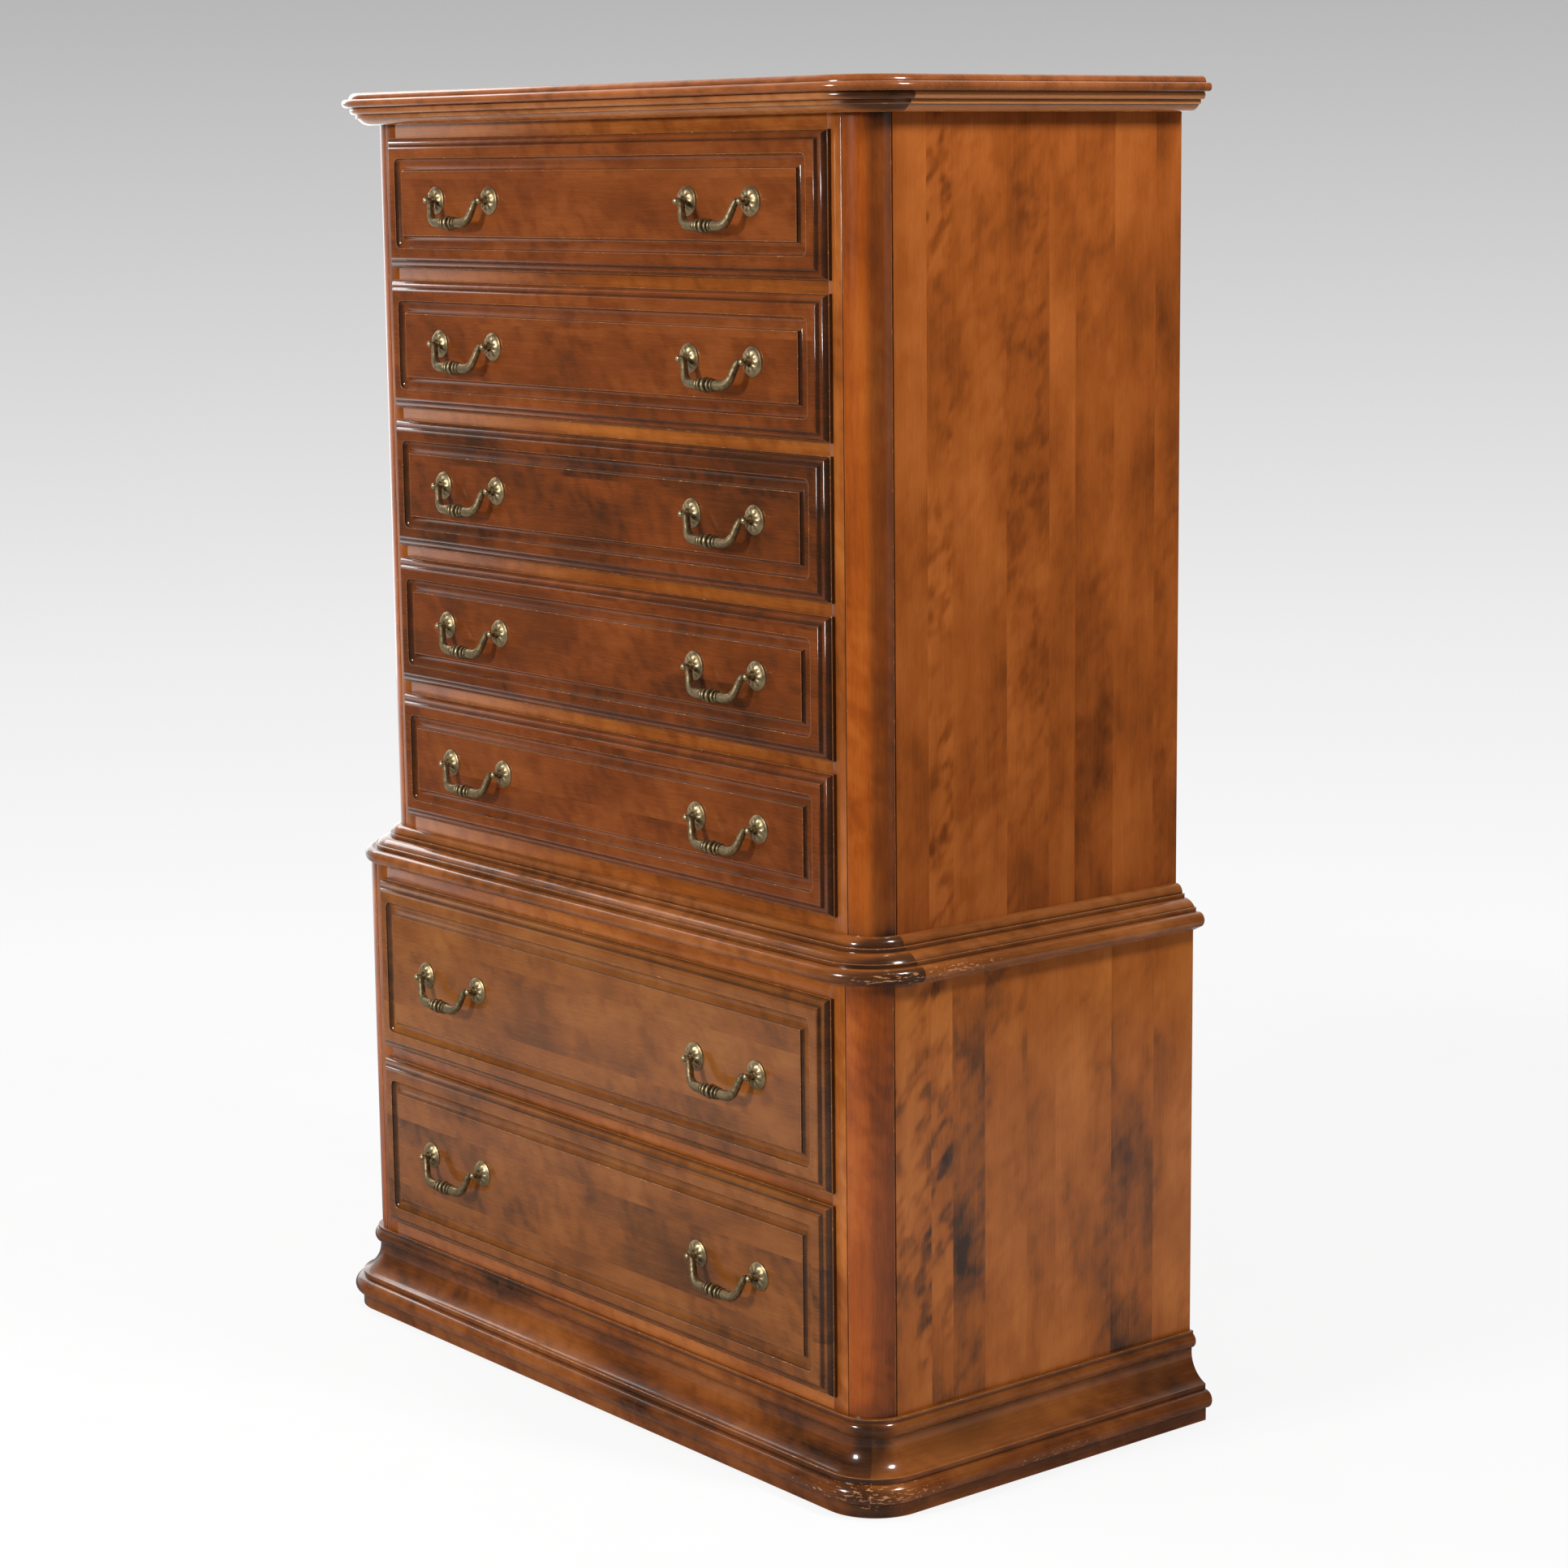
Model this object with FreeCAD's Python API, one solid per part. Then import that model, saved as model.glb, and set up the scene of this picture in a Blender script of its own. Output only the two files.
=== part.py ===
import FreeCAD, Part
import math
import os
from FreeCAD import Vector

# Chest on chest: an upper case of five drawers on a wider lower case of two.
# Millimetres. The front faces -Y, +X is the viewer's right, the floor is Z = 0.
# The origin is the middle of the footprint, pulls included.

# The two cases
upper_case_width = 940.0
upper_case_depth = 458.0
waist_step = 28.0
corner_radius = 38.0
corner_quirk = 2.0
side_thickness = 19.0
stile_thickness = 20.0
board_thickness = 18.0
back_thickness = 6.0
back_rabbet = 9.5
side_floor_gap = 8.0

# Drawer fronts and the gaps round them
upper_drawer_count = 5
lower_drawer_count = 2
upper_stile_show = 16.0
lower_stile_show = 18.0
upper_front_height = 155.5
lower_front_height = 215.5
drawer_gap = 14.0
lower_bottom_margin = 15.5
lower_top_margin = 13.5
upper_bottom_margin = 16.5
upper_top_margin = 16.0
lip_overlap = 6.0
lip_gap = 0.5

# Moulded edge of a drawer front, from its back face forward
front_thickness = 14.5
edge_land = 4.0
edge_quirk = 1.2
edge_round_width = 7.8
edge_round_height = 6.6
edge_round_rise = 1.9
edge_step = 0.8
edge_bead_width = 3.6
edge_bead_rise = 0.8

# Routed groove round the field of a drawer front
groove_inset = 24.5
groove_width = 15.0
groove_shoulder = 1.8
groove_depth = 5.5

# Drawer boxes
box_side_clearance = 3.0
box_top_clearance = 7.0
box_side_thickness = 12.0
box_front_thickness = 14.0
box_back_thickness = 12.0
box_bottom_thickness = 5.0
box_bottom_height = 8.0
box_groove_depth = 5.0
box_rear_gap = 26.0
running_gap = 0.3

# Runners and guides inside the cases
runner_overlap = 12.0
runner_thickness = 18.0
guide_width = 16.0
guide_height = 20.0
guide_gap = 1.0

# Base moulding, from the floor up: heights and projections beyond the lower case
base_plinth_height = 15.5
base_plinth_projection = 27.0
base_torus_height = 22.0
base_torus_projection = 37.0
base_fillet_height = 6.5
base_fillet_projection = 26.0
base_cove_height = 38.0
base_cove_hollow = 7.5
base_cove_top_projection = 3.5
base_bead_height = 17.0
base_bead_projection = 10.0
base_cap_height = 4.0
base_cap_projection = 5.5
base_mitre_degrees = 45.0

# Waist moulding, from the bottom up: overhangs beyond the lower case, projections beyond the upper one
waist_lip_height = 6.0
waist_lip_overhang = 12.0
waist_torus_height = 17.0
waist_torus_overhang = 18.0
waist_torus_root = 8.0
waist_fillet_height = 4.5
waist_fillet_overhang = 4.5
waist_ogee_height = 8.5
waist_ogee_overhang = 2.0
waist_ogee_rise = 2.2
waist_quirk_height = 4.5
waist_quirk_projection = 14.0
waist_ovolo_height = 10.5
waist_ovolo_projection = 10.5
waist_ovolo_rise = 3.0
waist_top_projection = 0.8

# Cornice moulding, from the bottom up: heights and projections beyond the upper case
cornice_soffit_projection = 10.0
cornice_ovolo_height = 8.0
cornice_ovolo_projection = 27.0
cornice_ovolo_rise = 2.5
cornice_fillet_height = 5.0
cornice_fillet_projection = 29.5
cornice_bead_height = 9.0
cornice_bead_projection = 36.5
cornice_bead_root = 33.0

# Top board, from its underside up: heights and projections beyond the upper case
top_torus_height = 9.0
top_torus_projection = 46.0
top_torus_root = 39.0
top_step_height = 8.0
top_step_projection = 37.5
top_edge_width = 7.5
top_edge_rise = 2.2

# Bail pulls
pull_spacing = 111.0
pull_inset = 171.0
pull_rise = 4.0
rosette_radius = 16.0
rosette_rim = 1.6
rosette_height = 5.8
rosette_dome_rise = 1.4
post_radius = 3.4
post_standoff = 14.5
ball_radius = 4.2
pivot_radius = 1.5
pivot_clearance = 0.05
stud_radius = 2.0
stud_clearance = 0.3
nut_radius = 5.0
nut_sides = 6
nut_thickness = 4.0
thread_clearance = 0.05
stud_end = 1.5

# Bail, drawn hanging straight down and then tilted out to its rest
bail_tilt_degrees = 13.0
bail_drop = 26.5
bail_shoulder_gap = 0.6
spindle_radius = 4.0
disc_radius = 8.6
disc_half_width = 2.2
disc_swell = 1.0
disc_spindle_length = 5.4
collar_radius = 6.6
collar_width = 3.2
collar_spindle_length = 2.8
bead_radius = 5.4
bead_width = 3.6
swelling_radius = 6.0
swelling_length = 8.8
arm_radius = 4.0
neck_radius = 2.2
arm_bend_degrees = 68.0
arm_bend_share = 0.77

# Screws
case_screw_radius = 2.0
case_screw_cover = 4.0
case_screw_inset = 60.0
back_screw_radius = 1.5
back_screw_length = 20.0
back_screw_margin = 60.0
back_screw_rows = 4
screw_head_factor = 2.2
screw_head_thickness = 1.6
screw_clearance = 0.1

# Sizes that follow from the ones above
lower_case_width = upper_case_width + 2 * waist_step
lower_case_depth = upper_case_depth + waist_step
upper_half = upper_case_width / 2
lower_half = lower_case_width / 2
upper_front_width = upper_case_width - 2 * (corner_radius + upper_stile_show)
lower_front_width = lower_case_width - 2 * (corner_radius + lower_stile_show)
upper_pull_offset = upper_front_width / 2 - pull_inset
lower_pull_offset = lower_front_width / 2 - pull_inset
rail_depth = corner_radius
case_screw_length = 2 * board_thickness - case_screw_cover
bail_tilt = math.radians(bail_tilt_degrees)
pull_projection = post_standoff + bail_drop * math.sin(bail_tilt) + disc_radius
bail_shoulder_x = pull_spacing / 2 - ball_radius - bail_shoulder_gap
grip_half_length = (disc_half_width + disc_spindle_length + collar_width + collar_spindle_length
                    + bead_width + swelling_length)
front_proud = lip_gap + front_thickness
front_reach = max(front_proud + pull_projection, base_torus_projection)
back_y = (lower_case_depth + front_reach) / 2
lower_face_y = back_y - lower_case_depth
upper_face_y = back_y - upper_case_depth

base_height = (base_plinth_height + base_torus_height + base_fillet_height + base_cove_height
               + base_bead_height + base_cap_height)
waist_height = (waist_lip_height + waist_torus_height + waist_fillet_height + waist_ogee_height
                + waist_quirk_height + waist_ovolo_height)
cornice_height = cornice_ovolo_height + cornice_fillet_height + cornice_bead_height
top_thickness = top_torus_height + top_step_height


def stack_height(count, front_height):
    """Height of a column of drawer fronts with the gaps between them."""
    return count * front_height + (count - 1) * drawer_gap


waist_bottom = (base_height + lower_bottom_margin + stack_height(lower_drawer_count, lower_front_height)
                + lower_top_margin)
lower_top = waist_bottom + waist_lip_height
waist_top = waist_bottom + waist_height
cornice_bottom = (waist_top + upper_bottom_margin + stack_height(upper_drawer_count, upper_front_height)
                  + upper_top_margin)
upper_top = cornice_bottom + cornice_height


def box(x_low, x_high, y_low, y_high, z_low, z_high):
    """Rectangular block between two corners."""
    return Part.makeBox(x_high - x_low, y_high - y_low, z_high - z_low, Vector(x_low, y_low, z_low))


def rod(radius, start, direction, length):
    """Round bar from a point along a direction."""
    return Part.makeCylinder(radius, length, start, direction)


def joined(solids):
    """One clean solid from solids that share faces."""
    return solids[0].multiFuse(solids[1:]).removeSplitter().Solids[0]


def across(solid):
    """The same solid on the other side of the middle plane."""
    return solid.mirror(Vector(0, 0, 0), Vector(1, 0, 0))


def moved(solid, x, y, z):
    """A copy of a solid at another place."""
    copy = solid.copy()
    copy.translate(Vector(x, y, z))
    return copy


def bulge(start, end, rise):
    """Arc step to end that stands out by rise to the right of the line from start; negative hollows it."""
    along = (end[0] - start[0], end[1] - start[1])
    length = math.hypot(*along)
    middle = ((start[0] + end[0]) / 2, (start[1] + end[1]) / 2)
    through = (middle[0] + along[1] / length * rise, middle[1] - along[0] / length * rise)
    return (through, end)


def outline_face(start, steps, place):
    """Closed face from a start point through steps: a point is a line, a pair of points an arc."""
    edges = []
    here = start
    for step in steps:
        if isinstance(step[0], tuple):
            through, end = step
            edges.append(Part.Arc(place(here), place(through), place(end)).toShape())
        else:
            end = step
            edges.append(Part.LineSegment(place(here), place(end)).toShape())
        here = end
    edges.append(Part.LineSegment(place(here), place(start)).toShape())
    return Part.Face(Part.Wire(edges))


def plan_prism(half, face_y, z_low, z_high):
    """Block with the plan of a case: rounded front corners and a square back."""
    arc_shift = corner_radius * (1 - math.sqrt(0.5))
    start = (-half, back_y)
    steps = [
        (-half, face_y + corner_radius),
        ((-half + arc_shift, face_y + arc_shift), (-half + corner_radius, face_y)),
        (half - corner_radius, face_y),
        ((half - arc_shift, face_y + arc_shift), (half, face_y + corner_radius)),
        (half, back_y),
    ]
    face = outline_face(start, steps, lambda q: Vector(q[0], q[1], z_low))
    return face.extrude(Vector(0, 0, z_high - z_low))


def moulding_runs(start, steps, half, face_y, front_turn):
    """Front and right runs of a moulding; the front run turns each corner by front_turn degrees."""
    corner_x = half - corner_radius
    corner = Vector(corner_x, face_y + corner_radius, 0)
    up = Vector(0, 0, 1)

    def on_front(q):
        return Vector(corner_x, face_y - q[0], q[1])

    def on_side(q):
        return Vector(half + q[0], corner.y, q[1])

    front_face = outline_face(start, steps, on_front)
    right_turn = front_face.revolve(corner, up, front_turn)
    straight = front_face.extrude(Vector(-2 * corner_x, 0, 0))
    front = joined([straight, right_turn, across(right_turn)])
    side_face = outline_face(start, steps, on_side)
    run = side_face.extrude(Vector(0, back_y - corner.y, 0))
    if front_turn < 90:
        run = joined([run, side_face.revolve(corner, up, front_turn - 90)])
    return front, run


def base_profile():
    """Plinth, torus, fillet, long cove, bead and cap of the base moulding."""
    torus_low = base_plinth_height
    fillet_low = torus_low + base_torus_height
    cove_low = fillet_low + base_fillet_height
    bead_low = cove_low + base_cove_height
    cap_low = bead_low + base_bead_height
    torus_middle = torus_low + base_torus_height / 2
    bead_middle = bead_low + base_bead_height / 2
    cove_foot = (base_fillet_projection, cove_low)
    cove_head = (base_cove_top_projection, bead_low)
    return (0, 0), [
        (base_plinth_projection, 0),
        (base_plinth_projection, torus_low),
        ((base_torus_projection, torus_middle), (base_fillet_projection, fillet_low)),
        cove_foot,
        bulge(cove_foot, cove_head, -base_cove_hollow),
        ((base_bead_projection, bead_middle), (base_cap_projection, cap_low)),
        (base_cap_projection, base_height),
        (0, base_height),
    ]


def waist_profile():
    """Lip, torus, fillet, ogee, quirk and ovolo of the waist moulding."""
    torus_low = lower_top
    fillet_low = torus_low + waist_torus_height
    ogee_low = fillet_low + waist_fillet_height
    quirk_low = ogee_low + waist_ogee_height
    ovolo_low = quirk_low + waist_quirk_height
    torus_middle = torus_low + waist_torus_height / 2
    lip_edge = waist_step + waist_lip_overhang
    torus_edge = waist_step + waist_torus_overhang
    torus_root = waist_step + waist_torus_root
    fillet_edge = waist_step + waist_fillet_overhang
    ogee_foot = (waist_step + waist_ogee_overhang, ogee_low)
    ogee_head = (waist_quirk_projection, quirk_low)
    ovolo_foot = (waist_ovolo_projection, ovolo_low)
    ovolo_head = (waist_top_projection, waist_top)
    return (0, lower_top), [
        (waist_step, lower_top),
        (waist_step, waist_bottom),
        (lip_edge, torus_low),
        ((torus_edge, torus_middle), (torus_root, fillet_low)),
        (fillet_edge, fillet_low),
        (fillet_edge, ogee_low),
        ogee_foot,
        bulge(ogee_foot, ogee_head, waist_ogee_rise),
        (waist_quirk_projection, ovolo_low),
        ovolo_foot,
        bulge(ovolo_foot, ovolo_head, waist_ovolo_rise),
        (0, waist_top),
    ]


def cornice_profile():
    """Soffit, ovolo, fillet and bead of the cornice moulding."""
    fillet_low = cornice_bottom + cornice_ovolo_height
    bead_low = fillet_low + cornice_fillet_height
    bead_middle = bead_low + cornice_bead_height / 2
    ovolo_foot = (cornice_soffit_projection, cornice_bottom)
    ovolo_head = (cornice_ovolo_projection, fillet_low)
    return (0, cornice_bottom), [
        ovolo_foot,
        bulge(ovolo_foot, ovolo_head, cornice_ovolo_rise),
        (cornice_fillet_projection, fillet_low),
        (cornice_fillet_projection, bead_low),
        (cornice_bead_root, bead_low),
        ((cornice_bead_projection, bead_middle), (cornice_bead_root, upper_top)),
        (0, upper_top),
    ]


def top_profile():
    """Torus, step and rounded upper edge of the top board."""
    step_low = upper_top + top_torus_height
    top = upper_top + top_thickness
    torus_middle = upper_top + top_torus_height / 2
    edge_foot = (top_step_projection, step_low)
    edge_head = (top_step_projection - top_edge_width, top)
    return (0, upper_top), [
        (top_torus_root, upper_top),
        ((top_torus_projection, torus_middle), (top_torus_root, step_low)),
        edge_foot,
        bulge(edge_foot, edge_head, top_edge_rise),
        (0, top),
    ]


def make_base():
    """Base moulding, mitred in the middle of each rounded corner."""
    front, right = moulding_runs(*base_profile(), lower_half, lower_face_y, base_mitre_degrees)
    return {"base_front": [front], "base_right": [right], "base_left": [across(right)]}


def make_waist():
    """Waist moulding, seated over the top edge of the lower case."""
    front, right = moulding_runs(*waist_profile(), upper_half, upper_face_y, 90)
    seat = plan_prism(lower_half, lower_face_y, base_height, lower_top)
    front = front.cut(seat).Solids[0]
    right = right.cut(seat).Solids[0]
    return {"waist_front": [front], "waist_right": [right], "waist_left": [across(right)]}


def make_cornice():
    """Cornice moulding under the top board."""
    front, right = moulding_runs(*cornice_profile(), upper_half, upper_face_y, 90)
    return {"cornice_front": [front], "cornice_right": [right], "cornice_left": [across(right)]}


def make_top_board():
    """Top board with its moulded front and side edges."""
    edge, side = moulding_runs(*top_profile(), upper_half, upper_face_y, 90)
    core = plan_prism(upper_half, upper_face_y, upper_top, upper_top + top_thickness)
    return {"top_board": [joined([core, edge, side, across(side)])]}


def back_screw_heights(z_low, z_high):
    """Heights of the screws along one edge of a back panel."""
    first = z_low + back_screw_margin
    pitch = (z_high - z_low - 2 * back_screw_margin) / (back_screw_rows - 1)
    return [first + row * pitch for row in range(back_screw_rows)]


def screw(radius, length, head_place, direction):
    """Flat-headed screw whose head face is at head_place and whose tip points along direction."""
    head = rod(radius * screw_head_factor, head_place, direction, screw_head_thickness)
    shank = rod(radius, head_place, direction, length)
    return joined([head, shank])


def screw_hole(radius, length, head_place, direction):
    """Room for a screw with its head let in."""
    return screw(radius + screw_clearance, length + screw_clearance, head_place, direction)


def back_screws(half, z_low, z_high, maker):
    """Screws, or the holes for them, along both edges of a back panel."""
    inset_x = half - side_thickness + (side_thickness - back_rabbet) / 2
    solids = []
    for x in (-inset_x, inset_x):
        for z in back_screw_heights(z_low, z_high):
            place = Vector(x, back_y, z)
            solids.append(maker(back_screw_radius, back_screw_length, place, Vector(0, -1, 0)))
    return solids


def case_screws(maker):
    """Screws, or the holes for them, down through the upper case's bottom board into the lower case."""
    solids = []
    screw_x = upper_half - side_thickness - case_screw_inset
    front_y = upper_face_y + rail_depth + case_screw_inset
    rear_y = back_y - back_thickness - case_screw_inset
    for x in (-screw_x, screw_x):
        for y in (front_y, rear_y):
            place = Vector(x, y, lower_top + board_thickness)
            solids.append(maker(case_screw_radius, case_screw_length, place, Vector(0, 0, -1)))
    return solids


def make_case(name, half, face_y, z_low, z_high):
    """Side panels, corner posts and back panel of one case."""
    holes = back_screws(half, z_low, z_high, screw_hole)
    side = box(half - side_thickness, half, face_y + corner_radius, back_y, z_low, z_high)
    rabbet = box(half - side_thickness, half - back_rabbet, back_y - back_thickness, back_y, z_low, z_high)
    right = side.cut(rabbet).cut(Part.makeCompound(holes)).Solids[0]
    panel_half = half - back_rabbet
    panel = box(-panel_half, panel_half, back_y - back_thickness, back_y, z_low, z_high)
    panel = panel.cut(Part.makeCompound(holes)).Solids[0]
    post = make_corner_post(half, face_y, z_low, z_high)
    return {
        f"{name}_side_right": [right],
        f"{name}_side_left": [across(right)],
        f"{name}_corner_posts": [across(post), post],
        f"{name}_back_panel": [panel],
    }


def make_corner_post(half, face_y, z_low, z_high):
    """Quarter-round post with a quirk where it meets the stile and the side panel."""
    centre = Vector(half - corner_radius, face_y + corner_radius, z_low)
    height = z_high - z_low
    post = Part.makeCylinder(corner_radius, height, centre, Vector(0, 0, 1), 90)
    post.rotate(centre, Vector(0, 0, 1), -90)
    half_side = corner_quirk / math.sqrt(2)
    for edge in (Vector(centre.x, face_y, z_low), Vector(half, centre.y, z_low)):
        quirk = box(-half_side, half_side, -half_side, half_side, 0, height)
        quirk.rotate(Vector(0, 0, 0), Vector(0, 0, 1), 45)
        quirk.translate(edge)
        post = post.cut(quirk)
    return post.Solids[0]


def opening_levels(count, stack_low, front_height):
    """Lowest and highest level of each drawer opening, from the bottom drawer up."""
    pitch = front_height + drawer_gap
    lows = [stack_low + n * pitch for n in range(count)]
    return [(low + lip_overlap, low + front_height - lip_overlap) for low in lows]


def make_face_frame(half, face_y, front_width, levels, z_low, z_high):
    """Two stiles, and the rails between and beyond the drawer openings."""
    opening_half = front_width / 2 - lip_overlap
    stile_outer = half - corner_radius
    stile = box(opening_half, stile_outer, face_y, face_y + stile_thickness, z_low, z_high)
    solids = [across(stile), stile]
    bottoms = [z_low] + [high for low, high in levels]
    tops = [low for low, high in levels] + [z_high]
    for rail_low, rail_high in zip(bottoms, tops):
        solids.append(box(-opening_half, opening_half, face_y, face_y + rail_depth, rail_low, rail_high))
    return solids


def make_runners(half, face_y, front_width, levels):
    """A runner under each drawer side, with a guide on it beside the drawer."""
    box_half = front_width / 2 - lip_overlap - box_side_clearance
    y_low = face_y + rail_depth
    y_high = back_y - back_thickness
    runner_inner = box_half - runner_overlap
    runner_outer = half - side_thickness
    guide_inner = box_half + guide_gap
    guide_outer = guide_inner + guide_width
    solids = []
    for low, high in levels:
        runner = box(runner_inner, runner_outer, y_low, y_high, low - runner_thickness, low)
        guide = box(guide_inner, guide_outer, y_low, y_high, low, low + guide_height)
        solids += [across(runner), runner, across(guide), guide]
    return solids


def edge_profile():
    """Moulded edge of a drawer front, as inset from the edge and height from the back face."""
    round_foot = (edge_quirk, edge_land)
    round_head = (edge_quirk + edge_round_width, edge_land + edge_round_height)
    bead_foot = (round_head[0] + edge_step, round_head[1] + edge_step)
    bead_head = (bead_foot[0] + edge_bead_width, front_thickness)
    return (0, 0), [
        (0, edge_land),
        round_foot,
        bulge(round_foot, round_head, -edge_round_rise),
        bead_foot,
        bulge(bead_foot, bead_head, -edge_bead_rise),
        (bead_head[0], 0),
    ]


def edge_width():
    """How far in the moulded edge of a drawer front runs."""
    return edge_quirk + edge_round_width + edge_step + edge_bead_width


def groove_cutter(width, height):
    """What the router takes out along the groove: four straight passes and four turned corners."""
    bit_radius = groove_width / 2
    path_x = width / 2 - groove_inset - bit_radius
    path_z = height / 2 - groove_inset - bit_radius
    tip = -front_thickness + groove_depth
    shoulder = -front_thickness + groove_shoulder
    above = -front_thickness - groove_depth
    hollow = groove_depth - groove_shoulder
    nose_radius = (bit_radius ** 2 + hollow ** 2) / (2 * hollow)
    half_angle = math.asin(bit_radius / nose_radius) / 2
    nose = (nose_radius * math.sin(half_angle), tip - nose_radius * (1 - math.cos(half_angle)))
    section = [(bit_radius, shoulder), ((0, tip), (-bit_radius, shoulder)), (-bit_radius, above)]
    half_section = [(bit_radius, above), (bit_radius, shoulder), (nose, (0, tip))]

    def on_top(q):
        return Vector(-path_x, q[1], path_z + q[0])

    def on_right(q):
        return Vector(path_x + q[0], q[1], -path_z)

    top = outline_face((bit_radius, above), section, on_top).extrude(Vector(2 * path_x, 0, 0))
    right = outline_face((bit_radius, above), section, on_right).extrude(Vector(0, 0, 2 * path_z))
    bit_face = outline_face((0, above), half_section, lambda q: Vector(q[0], q[1], 0))
    bit = bit_face.revolve(Vector(0, 0, 0), Vector(0, 1, 0), 360)
    passes = [top, turned_over(top), right, across(right)]
    for x in (-path_x, path_x):
        for z in (-path_z, path_z):
            passes.append(moved(bit, x, 0, z))
    return passes[0].multiFuse(passes[1:])


def turned_over(solid):
    """The same solid below the middle level."""
    return solid.mirror(Vector(0, 0, 0), Vector(0, 0, 1))


def upright_prism(points, y_low, y_high):
    """Block whose front outline is the given (x, z) points."""
    face = outline_face(points[0], points[1:], lambda q: Vector(q[0], y_low, q[1]))
    return face.extrude(Vector(0, y_high - y_low, 0))


def pull_places(pull_offset):
    """Where the posts of both pulls stand across a drawer."""
    half = pull_spacing / 2
    return [side * pull_offset + shift for side in (-1, 1) for shift in (-half, half)]


def stud_holes(pull_offset):
    """Holes for the posts' studs, through the front and the inner front."""
    radius = stud_radius + stud_clearance
    length = front_thickness + box_front_thickness
    holes = [rod(radius, Vector(x, -front_thickness, pull_rise), Vector(0, 1, 0), length)
             for x in pull_places(pull_offset)]
    return Part.makeCompound(holes)


def make_front(width, height, pull_offset):
    """Lipped drawer front about its own middle, with its back face at y = 0."""
    edge = edge_width()
    start, steps = edge_profile()
    half_x = width / 2
    half_z = height / 2
    inner_x = half_x - edge
    inner_z = half_z - edge

    def on_top(q):
        return Vector(-half_x, -q[1], half_z - q[0])

    def on_right(q):
        return Vector(half_x - q[0], -q[1], -half_z)

    top = outline_face(start, steps, on_top).extrude(Vector(width, 0, 0))
    right = outline_face(start, steps, on_right).extrude(Vector(0, 0, height))
    top_mitre = [(-half_x, half_z), (half_x, half_z), (inner_x, inner_z), (-inner_x, inner_z)]
    right_mitre = [(half_x, -half_z), (half_x, half_z), (inner_x, inner_z), (inner_x, -inner_z)]
    top = top.common(upright_prism(top_mitre, -front_thickness, 0))
    right = right.common(upright_prism(right_mitre, -front_thickness, 0))
    slab = box(-inner_x, inner_x, -front_thickness, 0, -inner_z, inner_z)
    front = joined([slab, top, turned_over(top), right, across(right)])
    return front.cut(groove_cutter(width, height)).cut(stud_holes(pull_offset)).Solids[0]


def make_box(width, height, length, pull_offset):
    """Drawer box behind a front: inner front, sides, back and a bottom held in grooves."""
    half = width / 2 - lip_overlap - box_side_clearance
    inner = half - box_side_thickness
    z_low = -height / 2 + lip_overlap + running_gap
    z_high = height / 2 - lip_overlap - box_top_clearance
    bottom_low = z_low + box_bottom_height
    bottom_high = bottom_low + box_bottom_thickness
    bottom_half = inner + box_groove_depth
    bottom_front = box_front_thickness - box_groove_depth
    bottom = box(-bottom_half, bottom_half, bottom_front, length, bottom_low, bottom_high)
    inner_front = box(-half, half, 0, box_front_thickness, z_low, z_high)
    inner_front = inner_front.cut(bottom).cut(stud_holes(pull_offset)).Solids[0]
    side = box(inner, half, box_front_thickness, length, z_low, z_high).cut(bottom).Solids[0]
    back = box(-inner, inner, length - box_back_thickness, length, bottom_high, z_high)
    return [inner_front, across(side), side, back, bottom]


def make_rosette():
    """Domed round plate about the post's axis, with its back at y = 0."""
    bore = stud_radius + stud_clearance
    rim = (rosette_radius, -rosette_rim)
    crown = (post_radius, -rosette_height)
    steps = [(rosette_radius, 0), rim, bulge(rim, crown, rosette_dome_rise), (bore, -rosette_height)]
    face = outline_face((bore, 0), steps, lambda q: Vector(q[0], q[1], 0))
    return face.revolve(Vector(0, 0, 0), Vector(0, 1, 0), 360)


def make_post():
    """Ball-headed post on the rosette, with a cross hole for the bail and a stud through the drawer."""
    forward = Vector(0, -1, 0)
    neck = rod(post_radius, Vector(0, -rosette_height, 0), forward, post_standoff - rosette_height)
    ball = Part.makeSphere(ball_radius, Vector(0, -post_standoff, 0))
    stud_length = front_thickness + box_front_thickness + nut_thickness + stud_end
    stud = rod(stud_radius, Vector(0, stud_length, 0), forward, stud_length + rosette_height)
    hole_start = Vector(-2 * ball_radius, -post_standoff, 0)
    hole = rod(pivot_radius + pivot_clearance, hole_start, Vector(1, 0, 0), 4 * ball_radius)
    return joined([stud, neck, ball]).cut(hole).Solids[0]


def make_nut():
    """Six-sided nut on the stud, against the inner front."""
    seat = front_thickness + box_front_thickness
    angles = [2 * math.pi * n / nut_sides for n in range(nut_sides)]
    corners = [(nut_radius * math.cos(angle), nut_radius * math.sin(angle)) for angle in angles]
    nut = upright_prism(corners, seat, seat + nut_thickness)
    bore = rod(stud_radius + thread_clearance, Vector(0, seat, 0), Vector(0, 1, 0), nut_thickness)
    return nut.cut(bore).Solids[0]


def make_pull_mounts(pull_offset):
    """Rosettes, posts and nuts of both pulls of a drawer."""
    pieces = [make_rosette(), make_post(), make_nut()]
    places = pull_places(pull_offset)
    return [moved(piece, x, -front_thickness, pull_rise) for x in places for piece in pieces]


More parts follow.
